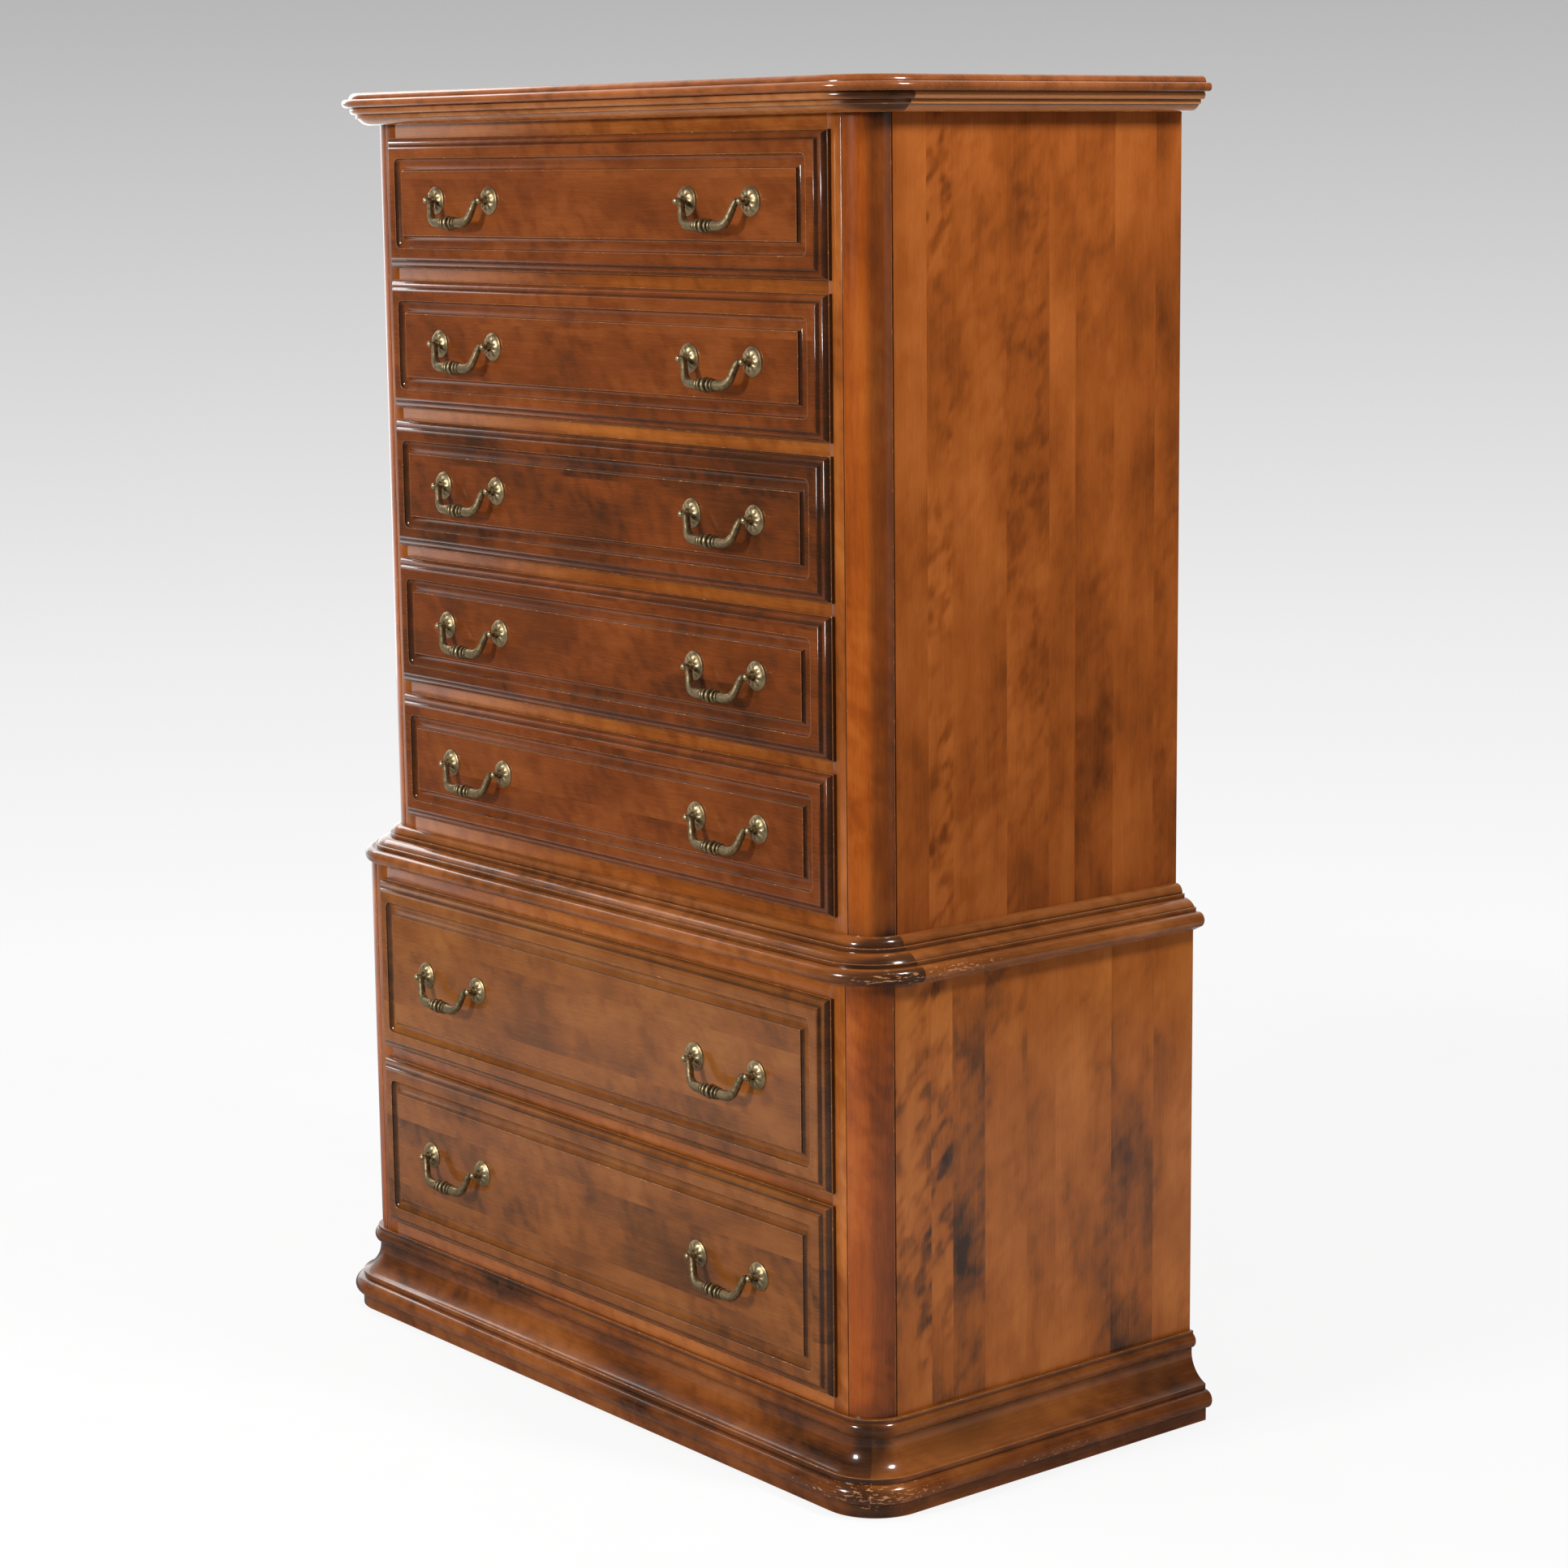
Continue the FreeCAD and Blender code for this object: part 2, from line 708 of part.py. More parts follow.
def grip_half():
    """Right half of the turned grip: half a disc, a collar, a bead and a swelling, about the X axis."""
    collar_start = disc_half_width + disc_spindle_length
    collar_end = collar_start + collar_width
    bead_start = collar_end + collar_spindle_length
    bead_end = bead_start + bead_width
    disc_top = (0, disc_radius)
    disc_foot = (disc_half_width, spindle_radius)
    steps = [
        disc_top,
        bulge(disc_top, disc_foot, -disc_swell),
        (collar_start, spindle_radius),
        ((collar_start + collar_width / 2, collar_radius), (collar_end, spindle_radius)),
        (bead_start, spindle_radius),
        ((bead_start + bead_width / 2, bead_radius), (bead_end, spindle_radius)),
        ((bead_end + swelling_length / 2, swelling_radius), (grip_half_length, arm_radius)),
        (grip_half_length, 0),
    ]
    face = outline_face((0, 0), steps, lambda q: Vector(q[0], 0, q[1]))
    grip = face.revolve(Vector(0, 0, 0), Vector(1, 0, 0), 360)
    return moved(grip, 0, 0, -bail_drop)


def bail_arm():
    """Swan-necked arm from the grip up to the shoulder beside the right ball, and the pivot on it."""
    turn = math.radians(arm_bend_degrees)
    half_turn = turn / 2
    rise = math.sin(turn)
    run = math.cos(turn)
    reach = bail_shoulder_x - grip_half_length
    both_bends = (reach * rise - bail_drop * run) / (1 - run)
    straight = (bail_drop * rise - reach * (1 - run)) / (1 - run)
    low_bend = arm_bend_share * both_bends
    high_bend = both_bends - low_bend
    low_centre = Vector(grip_half_length, 0, low_bend - bail_drop)
    high_centre = Vector(bail_shoulder_x, 0, -high_bend)

    def on_low_bend(angle):
        return low_centre + Vector(math.sin(angle), 0, -math.cos(angle)) * low_bend

    def on_high_bend(angle):
        return high_centre + Vector(-math.sin(angle), 0, math.cos(angle)) * high_bend

    foot = on_low_bend(0)
    bend_end = on_low_bend(turn)
    neck_start = bend_end + Vector(run, 0, rise) * straight
    shoulder = on_high_bend(0)
    spine = Part.Wire([
        Part.Arc(foot, on_low_bend(half_turn), bend_end).toShape(),
        Part.LineSegment(bend_end, neck_start).toShape(),
        Part.Arc(neck_start, on_high_bend(half_turn), shoulder).toShape(),
    ])
    sideways = Vector(1, 0, 0)
    shell = Part.BRepOffsetAPI.MakePipeShell(spine)
    shell.add(Part.Wire(Part.makeCircle(arm_radius, foot, sideways)))
    shell.add(Part.Wire(Part.makeCircle(neck_radius, shoulder, sideways)))
    shell.build()
    shell.makeSolid()
    pivot = rod(pivot_radius, shoulder, sideways, bail_shoulder_gap + 2 * ball_radius)
    return [shell.shape(), pivot]


def make_bail():
    """Whole bail about its hinge axis, tilted out to where it rests."""
    right = joined([grip_half()] + bail_arm())
    bail = joined([right, across(right)])
    bail.rotate(Vector(0, 0, 0), Vector(1, 0, 0), -bail_tilt_degrees)
    return bail


def make_drawers(face_y, width, height, stack_low, count, pull_offset, first_number):
    """All the drawers of one case; the top one has the first number."""
    back_of_front_y = face_y - lip_gap
    length = back_y - back_thickness - box_rear_gap - back_of_front_y
    front = make_front(width, height, pull_offset)
    box_pieces = make_box(width, height, length, pull_offset)
    mounts = make_pull_mounts(pull_offset)
    bail = make_bail()
    pivot_y = back_of_front_y - front_thickness - post_standoff
    nodes = {}
    for row in range(count):
        name = f"drawer_{first_number + row}"
        low = stack_low + (count - 1 - row) * (height + drawer_gap)
        middle = low + height / 2
        nodes[f"{name}_front"] = [moved(front, 0, back_of_front_y, middle)]
        nodes[f"{name}_box"] = [moved(piece, 0, back_of_front_y, middle) for piece in box_pieces]
        nodes[f"{name}_pull_mounts"] = [moved(piece, 0, back_of_front_y, middle) for piece in mounts]
        nodes[f"{name}_bail_left"] = [moved(bail, -pull_offset, pivot_y, middle + pull_rise)]
        nodes[f"{name}_bail_right"] = [moved(bail, pull_offset, pivot_y, middle + pull_rise)]
    return nodes


def make_case_boards():
    """Bottom board of the upper case and top board of the lower case, screwed together."""
    holes = Part.makeCompound(case_screws(screw_hole))

    def board(half, face_y, z_low):
        inner = half - side_thickness
        y_low = face_y + rail_depth
        blank = box(-inner, inner, y_low, back_y - back_thickness, z_low, z_low + board_thickness)
        return blank.cut(holes).Solids[0]

    return {
        "upper_bottom_board": [board(upper_half, upper_face_y, lower_top)],
        "lower_top_board": [board(lower_half, lower_face_y, lower_top - board_thickness)],
    }


def make_screws():
    """All the screws of the cases."""
    solids = case_screws(screw)
    solids += back_screws(upper_half, lower_top, upper_top, screw)
    solids += back_screws(lower_half, side_floor_gap, lower_top, screw)
    return {"fixing_screws": solids}


lower_stack = base_height + lower_bottom_margin
upper_stack = waist_top + upper_bottom_margin
lower_levels = opening_levels(lower_drawer_count, lower_stack, lower_front_height)
upper_levels = opening_levels(upper_drawer_count, upper_stack, upper_front_height)

nodes = {}
nodes.update(make_case("upper", upper_half, upper_face_y, lower_top, upper_top))
nodes.update(make_case("lower", lower_half, lower_face_y, side_floor_gap, lower_top))
nodes["upper_face_frame"] = make_face_frame(upper_half, upper_face_y, upper_front_width, upper_levels,
                                            lower_top, upper_top)
nodes["lower_face_frame"] = make_face_frame(lower_half, lower_face_y, lower_front_width, lower_levels,
                                            side_floor_gap, lower_top)
nodes["upper_runners"] = make_runners(upper_half, upper_face_y, upper_front_width, upper_levels)
nodes["lower_runners"] = make_runners(lower_half, lower_face_y, lower_front_width, lower_levels)
nodes.update(make_case_boards())
nodes.update(make_top_board())
nodes.update(make_cornice())
nodes.update(make_waist())
nodes.update(make_base())
nodes.update(make_screws())
nodes.update(make_drawers(upper_face_y, upper_front_width, upper_front_height, upper_stack,
                          upper_drawer_count, upper_pull_offset, 1))
nodes.update(make_drawers(lower_face_y, lower_front_width, lower_front_height, lower_stack,
                          lower_drawer_count, lower_pull_offset, upper_drawer_count + 1))

os.makedirs("parts", exist_ok=True)
for node, solids in nodes.items():
    shape = solids[0] if len(solids) == 1 else Part.makeCompound(solids)
    shape.exportStep(f"parts/{node}.step")
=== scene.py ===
"""Looks of a chest on chest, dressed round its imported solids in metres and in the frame's own axes."""

import logging
import math
from collections.abc import Callable, Iterable, Sequence
from dataclasses import dataclass, replace
from enum import Enum
from functools import cache

import bmesh
import bpy
from mathutils import Matrix, Vector


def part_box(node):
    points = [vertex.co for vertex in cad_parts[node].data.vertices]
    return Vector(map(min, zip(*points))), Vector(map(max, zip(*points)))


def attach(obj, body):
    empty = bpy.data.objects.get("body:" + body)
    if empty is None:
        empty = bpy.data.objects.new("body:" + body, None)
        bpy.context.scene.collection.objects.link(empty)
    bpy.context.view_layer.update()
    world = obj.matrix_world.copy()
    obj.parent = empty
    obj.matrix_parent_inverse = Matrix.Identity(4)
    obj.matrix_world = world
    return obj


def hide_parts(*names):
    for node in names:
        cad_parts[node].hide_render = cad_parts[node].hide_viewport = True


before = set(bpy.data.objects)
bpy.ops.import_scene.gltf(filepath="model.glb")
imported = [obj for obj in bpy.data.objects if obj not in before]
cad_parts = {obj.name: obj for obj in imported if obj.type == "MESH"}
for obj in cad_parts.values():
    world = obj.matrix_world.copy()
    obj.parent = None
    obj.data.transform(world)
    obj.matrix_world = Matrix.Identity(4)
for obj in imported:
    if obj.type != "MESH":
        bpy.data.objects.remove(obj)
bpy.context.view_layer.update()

Colour = tuple[int, int, int]
Rgba = tuple[float, float, float, float]
Point = tuple[float, float]
Triple = tuple[float, float, float]
Socket = bpy.types.NodeSocket
Edges = list[bmesh.types.BMEdge]

# Lengths are in metres and turns in degrees; points nearer than a seam are merged.
MM = 0.001
CARCASE = "carcase"
SEAM = 1e-6
RUN_STEP = 40 * MM
TURN_STEP = 5
FULL_TURN = 360
RELIEF = 0.4 * MM
UMBER: Colour = (52, 32, 20)
# Bare wood shows on chips and scuffs; its pale mix on eased arrises is also a painted highlight.
BARE_WOOD_AND_SHEEN: Colour = (206, 144, 94)
log = logging.getLogger("chest")


class Axis(Enum):
    """Direction of the fibre; the value orders x, y and z as along, across and depth."""

    X = (0, 2, 1)
    Y = (1, 2, 0)
    Z = (2, 0, 1)

    @property
    def unit(self) -> Vector:
        """Unit vector along the fibre."""
        return Vector([float(place == self.value[0]) for place in range(3)])

    def turned(self, place: Vector) -> Vector:
        """Reorder a place as along, across and depth."""
        return Vector([place[index] for index in self.value])


class Side(Enum):
    """A side of the chest; the value is its sign along x."""

    LEFT = -1
    RIGHT = 1

    @property
    def word(self) -> str:
        """Word for the side in the names of nodes."""
        return self.name.lower()


class Layer(Enum):
    """A layer of a mesh that a worn or stained place adds to."""

    GLAZE = "glaze"
    SCUFF = "scuff"


def linear(colour: Colour) -> Rgba:
    """Work out a linear colour with full alpha.

    Args:
        colour: Display values of 0 to 255.

    Returns:
        The linear colour.
    """
    shares = [value / 255 for value in colour]
    low = [share / 12.92 for share in shares]
    high = [((share + 0.055) / 1.055) ** 2.4 for share in shares]
    red, green, blue = (a if share <= 0.04045 else b for share, a, b in zip(shares, low, high))
    return red, green, blue, 1.0


def grey(level: float) -> Rgba:
    """Neutral linear colour with full alpha."""
    return level, level, level, 1.0


def link(name: str, data: bpy.types.ID) -> bpy.types.Object:
    """Put a new object into the scene.

    Args:
        name: Name of the object.
        data: Its mesh, lamp or camera.

    Returns:
        The object.
    """
    item = bpy.data.objects.new(name, data)
    bpy.context.scene.collection.objects.link(item)
    return item


class Wiring:
    """Adds nodes to a node tree and joins them."""

    def __init__(self, tree: bpy.types.NodeTree) -> None:
        """Take the node tree that the nodes go to."""
        self.tree = tree

    @classmethod
    def fresh(cls, owner: bpy.types.Material | bpy.types.World) -> "Wiring":
        """Empty the node tree of a material or a world.

        Args:
            owner: The material or world.

        Returns:
            Wiring of the empty tree.
        """
        owner.use_nodes = True
        owner.node_tree.nodes.clear()
        return cls(owner.node_tree)

    def add(self, kind: str, inputs: dict[str | int, object] | None = None,
            **settings: object) -> bpy.types.Node:
        """Add a node and join or set its inputs.

        Args:
            kind: Node type without the word that every shader node starts with.
            inputs: Sockets or plain values by input name or number.
            settings: Properties of the node.

        Returns:
            The new node.
        """
        node = self.tree.nodes.new("ShaderNode" + kind)
        for name, value in settings.items():
            setattr(node, name, value)
        for name, value in (inputs or {}).items():
            if isinstance(value, Socket):
                self.tree.links.new(value, node.inputs[name])
            else:
                node.inputs[name].default_value = value
        return node

    def math(self, how: str, *values: object) -> Socket:
        """Result of a Math node."""
        return self.add("Math", dict(enumerate(values)), operation=how).outputs[0]

    def vector(self, how: str, *values: object) -> Socket:
        """Vector that a Vector Math node gives."""
        return self.add("VectorMath", dict(enumerate(values)), operation=how).outputs[0]

    def number(self, how: str, *values: object) -> Socket:
        """Number that a Vector Math node gives."""
        return self.add("VectorMath", dict(enumerate(values)), operation=how).outputs["Value"]

    def split(self, vector: Socket) -> bpy.types.bpy_prop_collection:
        """The three parts of a vector."""
        return self.add("SeparateXYZ", {0: vector}).outputs

    def place(self) -> Socket:
        """Object coordinates of the surface."""
        return self.add("TexCoord").outputs["Object"]

    def layer(self, name: str, output: str = "Fac") -> Socket:
        """Layer of the mesh, as a number or under another output's name."""
        return self.add("Attribute", attribute_name=name).outputs[output]

    def fit(self, value: Socket, low: float, high: float, to_low: float = 0.0,
            to_high: float = 1.0) -> Socket:
        """Map a value smoothly from one range to another.

        Args:
            value: The value to map.
            low: Start of its range.
            high: End of its range.
            to_low: Result at the start.
            to_high: Result at the end.

        Returns:
            The mapped value, kept inside the new range.
        """
        limits = {"Value": value, "From Min": low, "From Max": high, "To Min": to_low, "To Max": to_high}
        return self.add("MapRange", limits, interpolation_type="SMOOTHSTEP").outputs["Result"]

    def mix(self, factor: object, first: object, second: object) -> Socket:
        """Mix two colours by a factor."""
        return self.add("Mix", {0: factor, 6: first, 7: second}, data_type="RGBA").outputs[2]

    def noise(self, place: Socket, scale: Triple, detail: float = 3.0, output: int = 0) -> Socket:
        """Noise that is stretched along the axes of a place.

        Args:
            place: Where the noise is read.
            scale: Features per metre along each axis.
            detail: Octaves of finer noise.
            output: 0 for the value, 1 for the colour.

        Returns:
            The noise.
        """
        spread = self.vector("MULTIPLY", place, scale)
        inputs = {"Vector": spread, "Scale": 1.0, "Detail": detail, "Roughness": 0.58}
        return self.add("TexNoise", inputs).outputs[output]

    def blend(self, base: float, parts: Iterable[tuple[Socket, float]]) -> Socket:
        """Add weighted values round a base, each counted from its middle of 0.5.

        Args:
            base: Result where every value is 0.5.
            parts: Values with their weights.

        Returns:
            The sum.
        """
        listed = list(parts)
        total: object = base - sum(weight for _, weight in listed) / 2
        for value, weight in listed:
            total = self.math("MULTIPLY_ADD", value, weight, total)
        return total

    def ramp(self, value: Socket, stops: Sequence[tuple[float, Rgba]], how: str = "LINEAR") -> Socket:
        """Colour ramp through given stops.

        Args:
            value: Place on the ramp.
            stops: Places from 0 to 1 with linear colours.
            how: Interpolation between the stops.

        Returns:
            The colour.
        """
        node = self.add("ValToRGB", {0: value})
        node.color_ramp.interpolation = how
        elements = node.color_ramp.elements
        while len(elements) < len(stops):
            elements.new(1.0)
        for element, (place, colour) in zip(elements, stops):
            element.position = place
            element.color = colour
        return node.outputs["Color"]


class Effect:
    """A shader node group that several finishes share."""

    def __init__(self, name: str, inputs: dict[str, str], outputs: dict[str, str]) -> None:
        """Make the group with named inputs and outputs.

        Args:
            name: Name of the group.
            inputs: Socket kinds by label.
            outputs: Socket kinds by label.
        """
        self.tree = bpy.data.node_groups.new(name, "ShaderNodeTree")
        for way, sockets in (("INPUT", inputs), ("OUTPUT", outputs)):
            for label, kind in sockets.items():
                self.tree.interface.new_socket(label, in_out=way, socket_type="NodeSocket" + kind)
        self.wiring = Wiring(self.tree)
        self.inputs = self.tree.nodes.new("NodeGroupInput").outputs
        self.leave = self.tree.nodes.new("NodeGroupOutput").inputs

    def give(self, **results: Socket) -> "Effect":
        """Join results to the outputs of the group.

        Args:
            results: Sockets by the label of their output.

        Returns:
            The effect.
        """
        for label, socket in results.items():
            self.tree.links.new(socket, self.leave[label])
        return self

    def use(self, wiring: Wiring, **inputs: object) -> bpy.types.bpy_prop_collection:
        """Put the group into a material and return its outputs."""
        return wiring.add("Group", dict(inputs), node_tree=self.tree).outputs


@cache
def wood_figure() -> Effect:
    """Build streaks, fibres, uneven stain and cross ripple of wood from a grain vector.

    Returns:
        The effect; each output lies round 0.5.
    """
    outputs = {label: "Float" for label in ("Streak", "Fibre", "Blotch", "Ripple")}
    effect = Effect("wood_figure", {"Grain": "Vector"}, outputs)
    wiring = effect.wiring
    grain = effect.inputs["Grain"]
    drift = wiring.noise(grain, (5, 16, 16), 2.0, 1)
    bent = wiring.vector("MULTIPLY_ADD", drift, (0.0, 0.014, 0.014), grain)
    streak = wiring.fit(wiring.noise(bent, (1.8, 38, 38), 4.0), 0.2, 0.8)
    coarse = wiring.noise(bent, (14, 420, 420), 3.0)
    fine = wiring.noise(bent, (60, 1500, 1500), 2.0)
    fibre = wiring.fit(wiring.blend(0.5, ((coarse, 0.7), (fine, 0.6))), 0.25, 0.75)
    blotch = wiring.fit(wiring.noise(grain, (5.5, 10, 10), 6.0), 0.24, 0.76)
    patch = wiring.fit(wiring.noise(grain, (5, 11, 11), 1.0), 0.3, 0.52)
    lean = {"Vector": bent, "Rotation": (0.0, 0.8, 0.8), "Scale": (0.014, 0.032, 0.032)}
    slant = wiring.add("Mapping", lean, vector_type="TEXTURE").outputs[0]
    wave = wiring.fit(wiring.noise(slant, (1.0, 1.0, 1.0), 1.5), 0.3, 0.6)
    ripple = wiring.math("MULTIPLY_ADD", wiring.math("SUBTRACT", wave, 0.5), patch, 0.5)
    return effect.give(Streak=streak, Fibre=fibre, Blotch=blotch, Ripple=ripple)


@cache
def antique_finish() -> Effect:
    """Build glaze left in the hollows and on end grain, and pale arrises: rubbed stain and painted highlight.

    Returns:
        The effect, with colour, roughness and height.
    """
    inputs = {"Wood": "Color", "Grain": "Vector"}
    inputs |= {label: "Float" for label in ("Glaze", "Wear", "Scuff", "End", "Fibre")}
    effect = Effect("antique_finish", inputs, {"Color": "Color", "Roughness": "Float", "Height": "Float"})
    wiring = effect.wiring
    given = effect.inputs
    cloud = wiring.noise(given["Grain"], (18, 60, 60), 3.0)
    # The glaze input also carries painted shade that the corner posts lay into it.
    held = wiring.math("MULTIPLY", given["Glaze"], wiring.fit(cloud, 0.3, 0.7, 0.8, 1.05))
    soaked = wiring.math("MULTIPLY", given["End"], wiring.fit(cloud, 0.25, 0.75, 0.7, 0.95))
    dark = wiring.math("MINIMUM", wiring.math("MAXIMUM", held, soaked), 1.0)
    glazed = wiring.mix(dark, given["Wood"], linear(UMBER))
    speck = wiring.noise(given["Grain"], (150, 420, 420), 3.0)
    struck = wiring.math("MAXIMUM", given["Wear"], given["Scuff"])
    bare = wiring.fit(wiring.math("MULTIPLY_ADD", struck, 0.3, speck), 0.77, 0.83)
    # Pale lines on the arrises: partly stain worn off, partly a painted highlight of the lamps on the eased
    # edges.
    thin = wiring.fit(given["Wear"], 0.2, 0.7, 0.0, 0.36)
    worn_and_sheen = wiring.math("MULTIPLY_ADD", bare, 0.75, thin)
    rubbed = wiring.mix(worn_and_sheen, glazed, linear(BARE_WOOD_AND_SHEEN))
    rough = wiring.math("MULTIPLY_ADD", bare, 0.25, wiring.fit(given["Fibre"], 0.0, 1.0, 0.2, 0.32))
    height = wiring.math("MULTIPLY_ADD", bare, -0.8, given["Fibre"])
    return effect.give(Color=rubbed, Roughness=rough, Height=height)


@cache
def metal_age() -> Effect:
    """Build the look of handled metal with dull hollows.

    Returns:
        The effect, with a colour mask, roughness and height.
    """
    inputs = {"Place": "Vector", "Hollow": "Float", "Rub": "Float"}
    effect = Effect("metal_age", inputs, {"Dull": "Float", "Roughness": "Float", "Height": "Float"})
    wiring = effect.wiring
    place = effect.inputs["Place"]
    cloud = wiring.noise(place, (260, 260, 260), 4.0)
    pits = wiring.noise(place, (900, 900, 900), 2.0)
    spread = wiring.blend(0.2, ((cloud, 0.9), (pits, 0.35)))
    held = wiring.math("MULTIPLY_ADD", effect.inputs["Hollow"], 0.7, spread)
    dull = wiring.fit(wiring.math("MULTIPLY_ADD", effect.inputs["Rub"], -0.4, held), 0.1, 1.0)
    rough = wiring.fit(dull, 0.0, 1.0, 0.42, 0.62)
    height = wiring.blend(0.5, ((cloud, 0.7), (pits, 0.5)))
    return effect.give(Dull=dull, Roughness=rough, Height=height)


class Surface:
    """A material in the making, with one Principled shader."""

    def __init__(self, name: str, constants: dict[str, object]) -> None:
        """Start the material.

        Args:
            name: Name of the material.
            constants: Constant inputs of the shader.
        """
        self.material = bpy.data.materials.new(name)
        self.wiring = Wiring.fresh(self.material)
        self.shader = self.wiring.add("BsdfPrincipled", constants)
        self.wiring.add("OutputMaterial", {"Surface": self.shader.outputs[0]})

    def join(self, colour: Socket, rough: Socket, height: Socket, strength: float) -> bpy.types.Material:
        """Join what changes over the surface to the shader.

        Args:
            colour: Base colour.
            rough: Roughness.
            height: Height of the fine relief.
            strength: Strength of the fine relief.

        Returns:
            The finished material.
        """
        relief = {"Strength": strength, "Distance": RELIEF, "Height": height}
        normal = self.wiring.add("Bump", relief).outputs["Normal"]
        for label, socket in (("Base Color", colour), ("Roughness", rough), ("Normal", normal)):
            self.wiring.tree.links.new(socket, self.shader.inputs[label])
        return self.material


@dataclass(frozen=True)
class Stave:
    """A stave of a glued-up panel.

    Attributes:
        start: Place across the panel in metres where it starts.
        tone: How much lighter it is than the finish.
        figure: Strength of its cross figure.
        foot: Tone added toward its foot, mostly darker: painted shade where the light falls off downward.
    """

    start: float
    tone: float
    figure: float
    foot: float = 0.0


@dataclass(frozen=True)
class WoodFinish:
    """Stained wood under lacquer.

    Attributes:
        name: Name of the material.
        dark: Colour of the darkest figure.
        middle: Colour between.
        light: Colour of the lightest figure.
        axis: Direction of the fibre.
        laid: Whether the grain is laid on the mesh; Object coordinates are read otherwise.
        streak: Strength of the long bands.
        fibre: Strength of the fine lines.
        blotch: Strength of the uneven stain.
        ripple: Strength of the cross figure.
        end: How much darker end grain is.
        coat: Weight of the lacquer.
        gloss: Specular level under the lacquer.
        strip: Width in metres of the strips that a front is glued from; 0 for one board.
        staves: Staves of a glued-up panel, from the front back; none for other pieces.
    """

    name: str
    dark: Colour
    middle: Colour
    light: Colour
    axis: Axis
    laid: bool = True
    streak: float = 0.35
    fibre: float = 0.2
    blotch: float = 0.5
    ripple: float = 0.2
    end: float = 1.0
    coat: float = 0.9
    gloss: float = 0.12
    strip: float = 0.0
    staves: tuple[Stave, ...] = ()

    def grain(self, wiring: Wiring) -> Socket:
        """Find the grain of the surface.

        Args:
            wiring: Wiring of the material.

        Returns:
            The grain vector: along, across and depth.
        """
        if self.laid:
            return wiring.layer("grain", "Vector")
        split = wiring.split(wiring.place())
        order = {number: split[index] for number, index in enumerate(self.axis.value)}
        return wiring.add("CombineXYZ", order).outputs[0]

    def stave_tone(self, wiring: Wiring) -> tuple[Socket, Socket, Socket]:
        """Find the stave of a place; the ramp holds what may be below zero with 0.5 added.

        Args:
            wiring: Wiring of the material.

        Returns:
            How far the figure is shifted, the tone round 0, and the strength of the cross figure.
        """
        place = wiring.place()
        split = wiring.split(place)
        stops = [(stave.start + 0.5, (stave.tone + 0.5, stave.figure, stave.foot + 0.5, 1.0))
                 for stave in self.staves]
        band = wiring.ramp(wiring.math("ADD", split["Y"], 0.5), stops, "CONSTANT")
        values = wiring.add("SeparateColor", {0: band}).outputs
        cloud = wiring.noise(place, (4.0, 8.0, 5.0), 2.0)
        uneven = wiring.fit(cloud, 0.35, 0.6, 0.7, 1.1)
        tone = wiring.math("SUBTRACT", values[0], 0.5)
        # Toward the foot each stave's foot tone is added, mostly darker: painted shade of light falling off
        # downward.
        low = wiring.fit(wiring.math("MULTIPLY_ADD", cloud, 0.3, split["Z"]), 1.12, 0.94)
        foot = wiring.math("MULTIPLY", wiring.math("SUBTRACT", values[2], 0.5), low)
        return tone, wiring.math("MULTIPLY_ADD", tone, uneven, foot), values[1]

    def tone(self, wiring: Wiring, grain: Socket) -> tuple[object, Socket, object]:
        """Find the tone of the board, strip or stave.

        Args:
            wiring: Wiring of the material.
            grain: Grain vector of the surface.

        Returns:
            How far the figure is shifted, the tone round 0, and the strength of the cross figure.
        """
        if self.staves:
            return self.stave_tone(wiring)
        tone = wiring.layer("tone")
        if not self.strip:
            return 0.0, tone, self.ripple
        number = wiring.math("FLOOR", wiring.math("DIVIDE", wiring.split(grain)["Y"], self.strip))
        share = wiring.math("FRACT", wiring.math("MULTIPLY", number, 0.618))
        around = wiring.math("SUBTRACT", tone, 0.06)
        return share, wiring.math("MULTIPLY_ADD", share, 0.12, around), self.ripple

    def material(self) -> bpy.types.Material:
        """Build the material.

        Returns:
            The material.
        """
        constants = {"IOR": 1.45, "Specular IOR Level": self.gloss, "Coat Weight": self.coat,
                     "Coat Roughness": 0.12, "Coat IOR": 1.5}
        surface = Surface(self.name, constants)
        wiring = surface.wiring
        laid = self.grain(wiring)
        shift, tone, ripple = self.tone(wiring, laid)
        apart = wiring.add("CombineXYZ", {0: shift, 1: shift, 2: shift}).outputs[0]
        grain = wiring.vector("MULTIPLY_ADD", apart, (7.0, 5.0, 3.0), laid)
        figure = wood_figure().use(wiring, Grain=grain)
        weights = (("Streak", self.streak), ("Fibre", self.fibre), ("Blotch", self.blotch))
        mixed = wiring.blend(0.5, [(figure[label], weight) for label, weight in weights])
        crossed = wiring.math("MULTIPLY_ADD", wiring.math("SUBTRACT", figure["Ripple"], 0.5), ripple, tone)
        stops = ((0.05, linear(self.dark)), (0.5, linear(self.middle)), (0.95, linear(self.light)))
        wood = wiring.ramp(wiring.math("ADD", mixed, crossed), stops)
        normal = wiring.add("NewGeometry").outputs["Normal"]
        facing = wiring.math("ABSOLUTE", wiring.number("DOT_PRODUCT", normal, self.axis.unit))
        end = wiring.math("MULTIPLY", wiring.fit(facing, 0.08, 0.55), self.end)
        masks = {label: wiring.layer(label.lower()) for label in ("Glaze", "Wear", "Scuff")}
        aged = antique_finish().use(wiring, Wood=wood, Grain=grain, End=end, Fibre=figure["Fibre"], **masks)
        return surface.join(aged["Color"], aged["Roughness"], aged["Height"], 0.12)


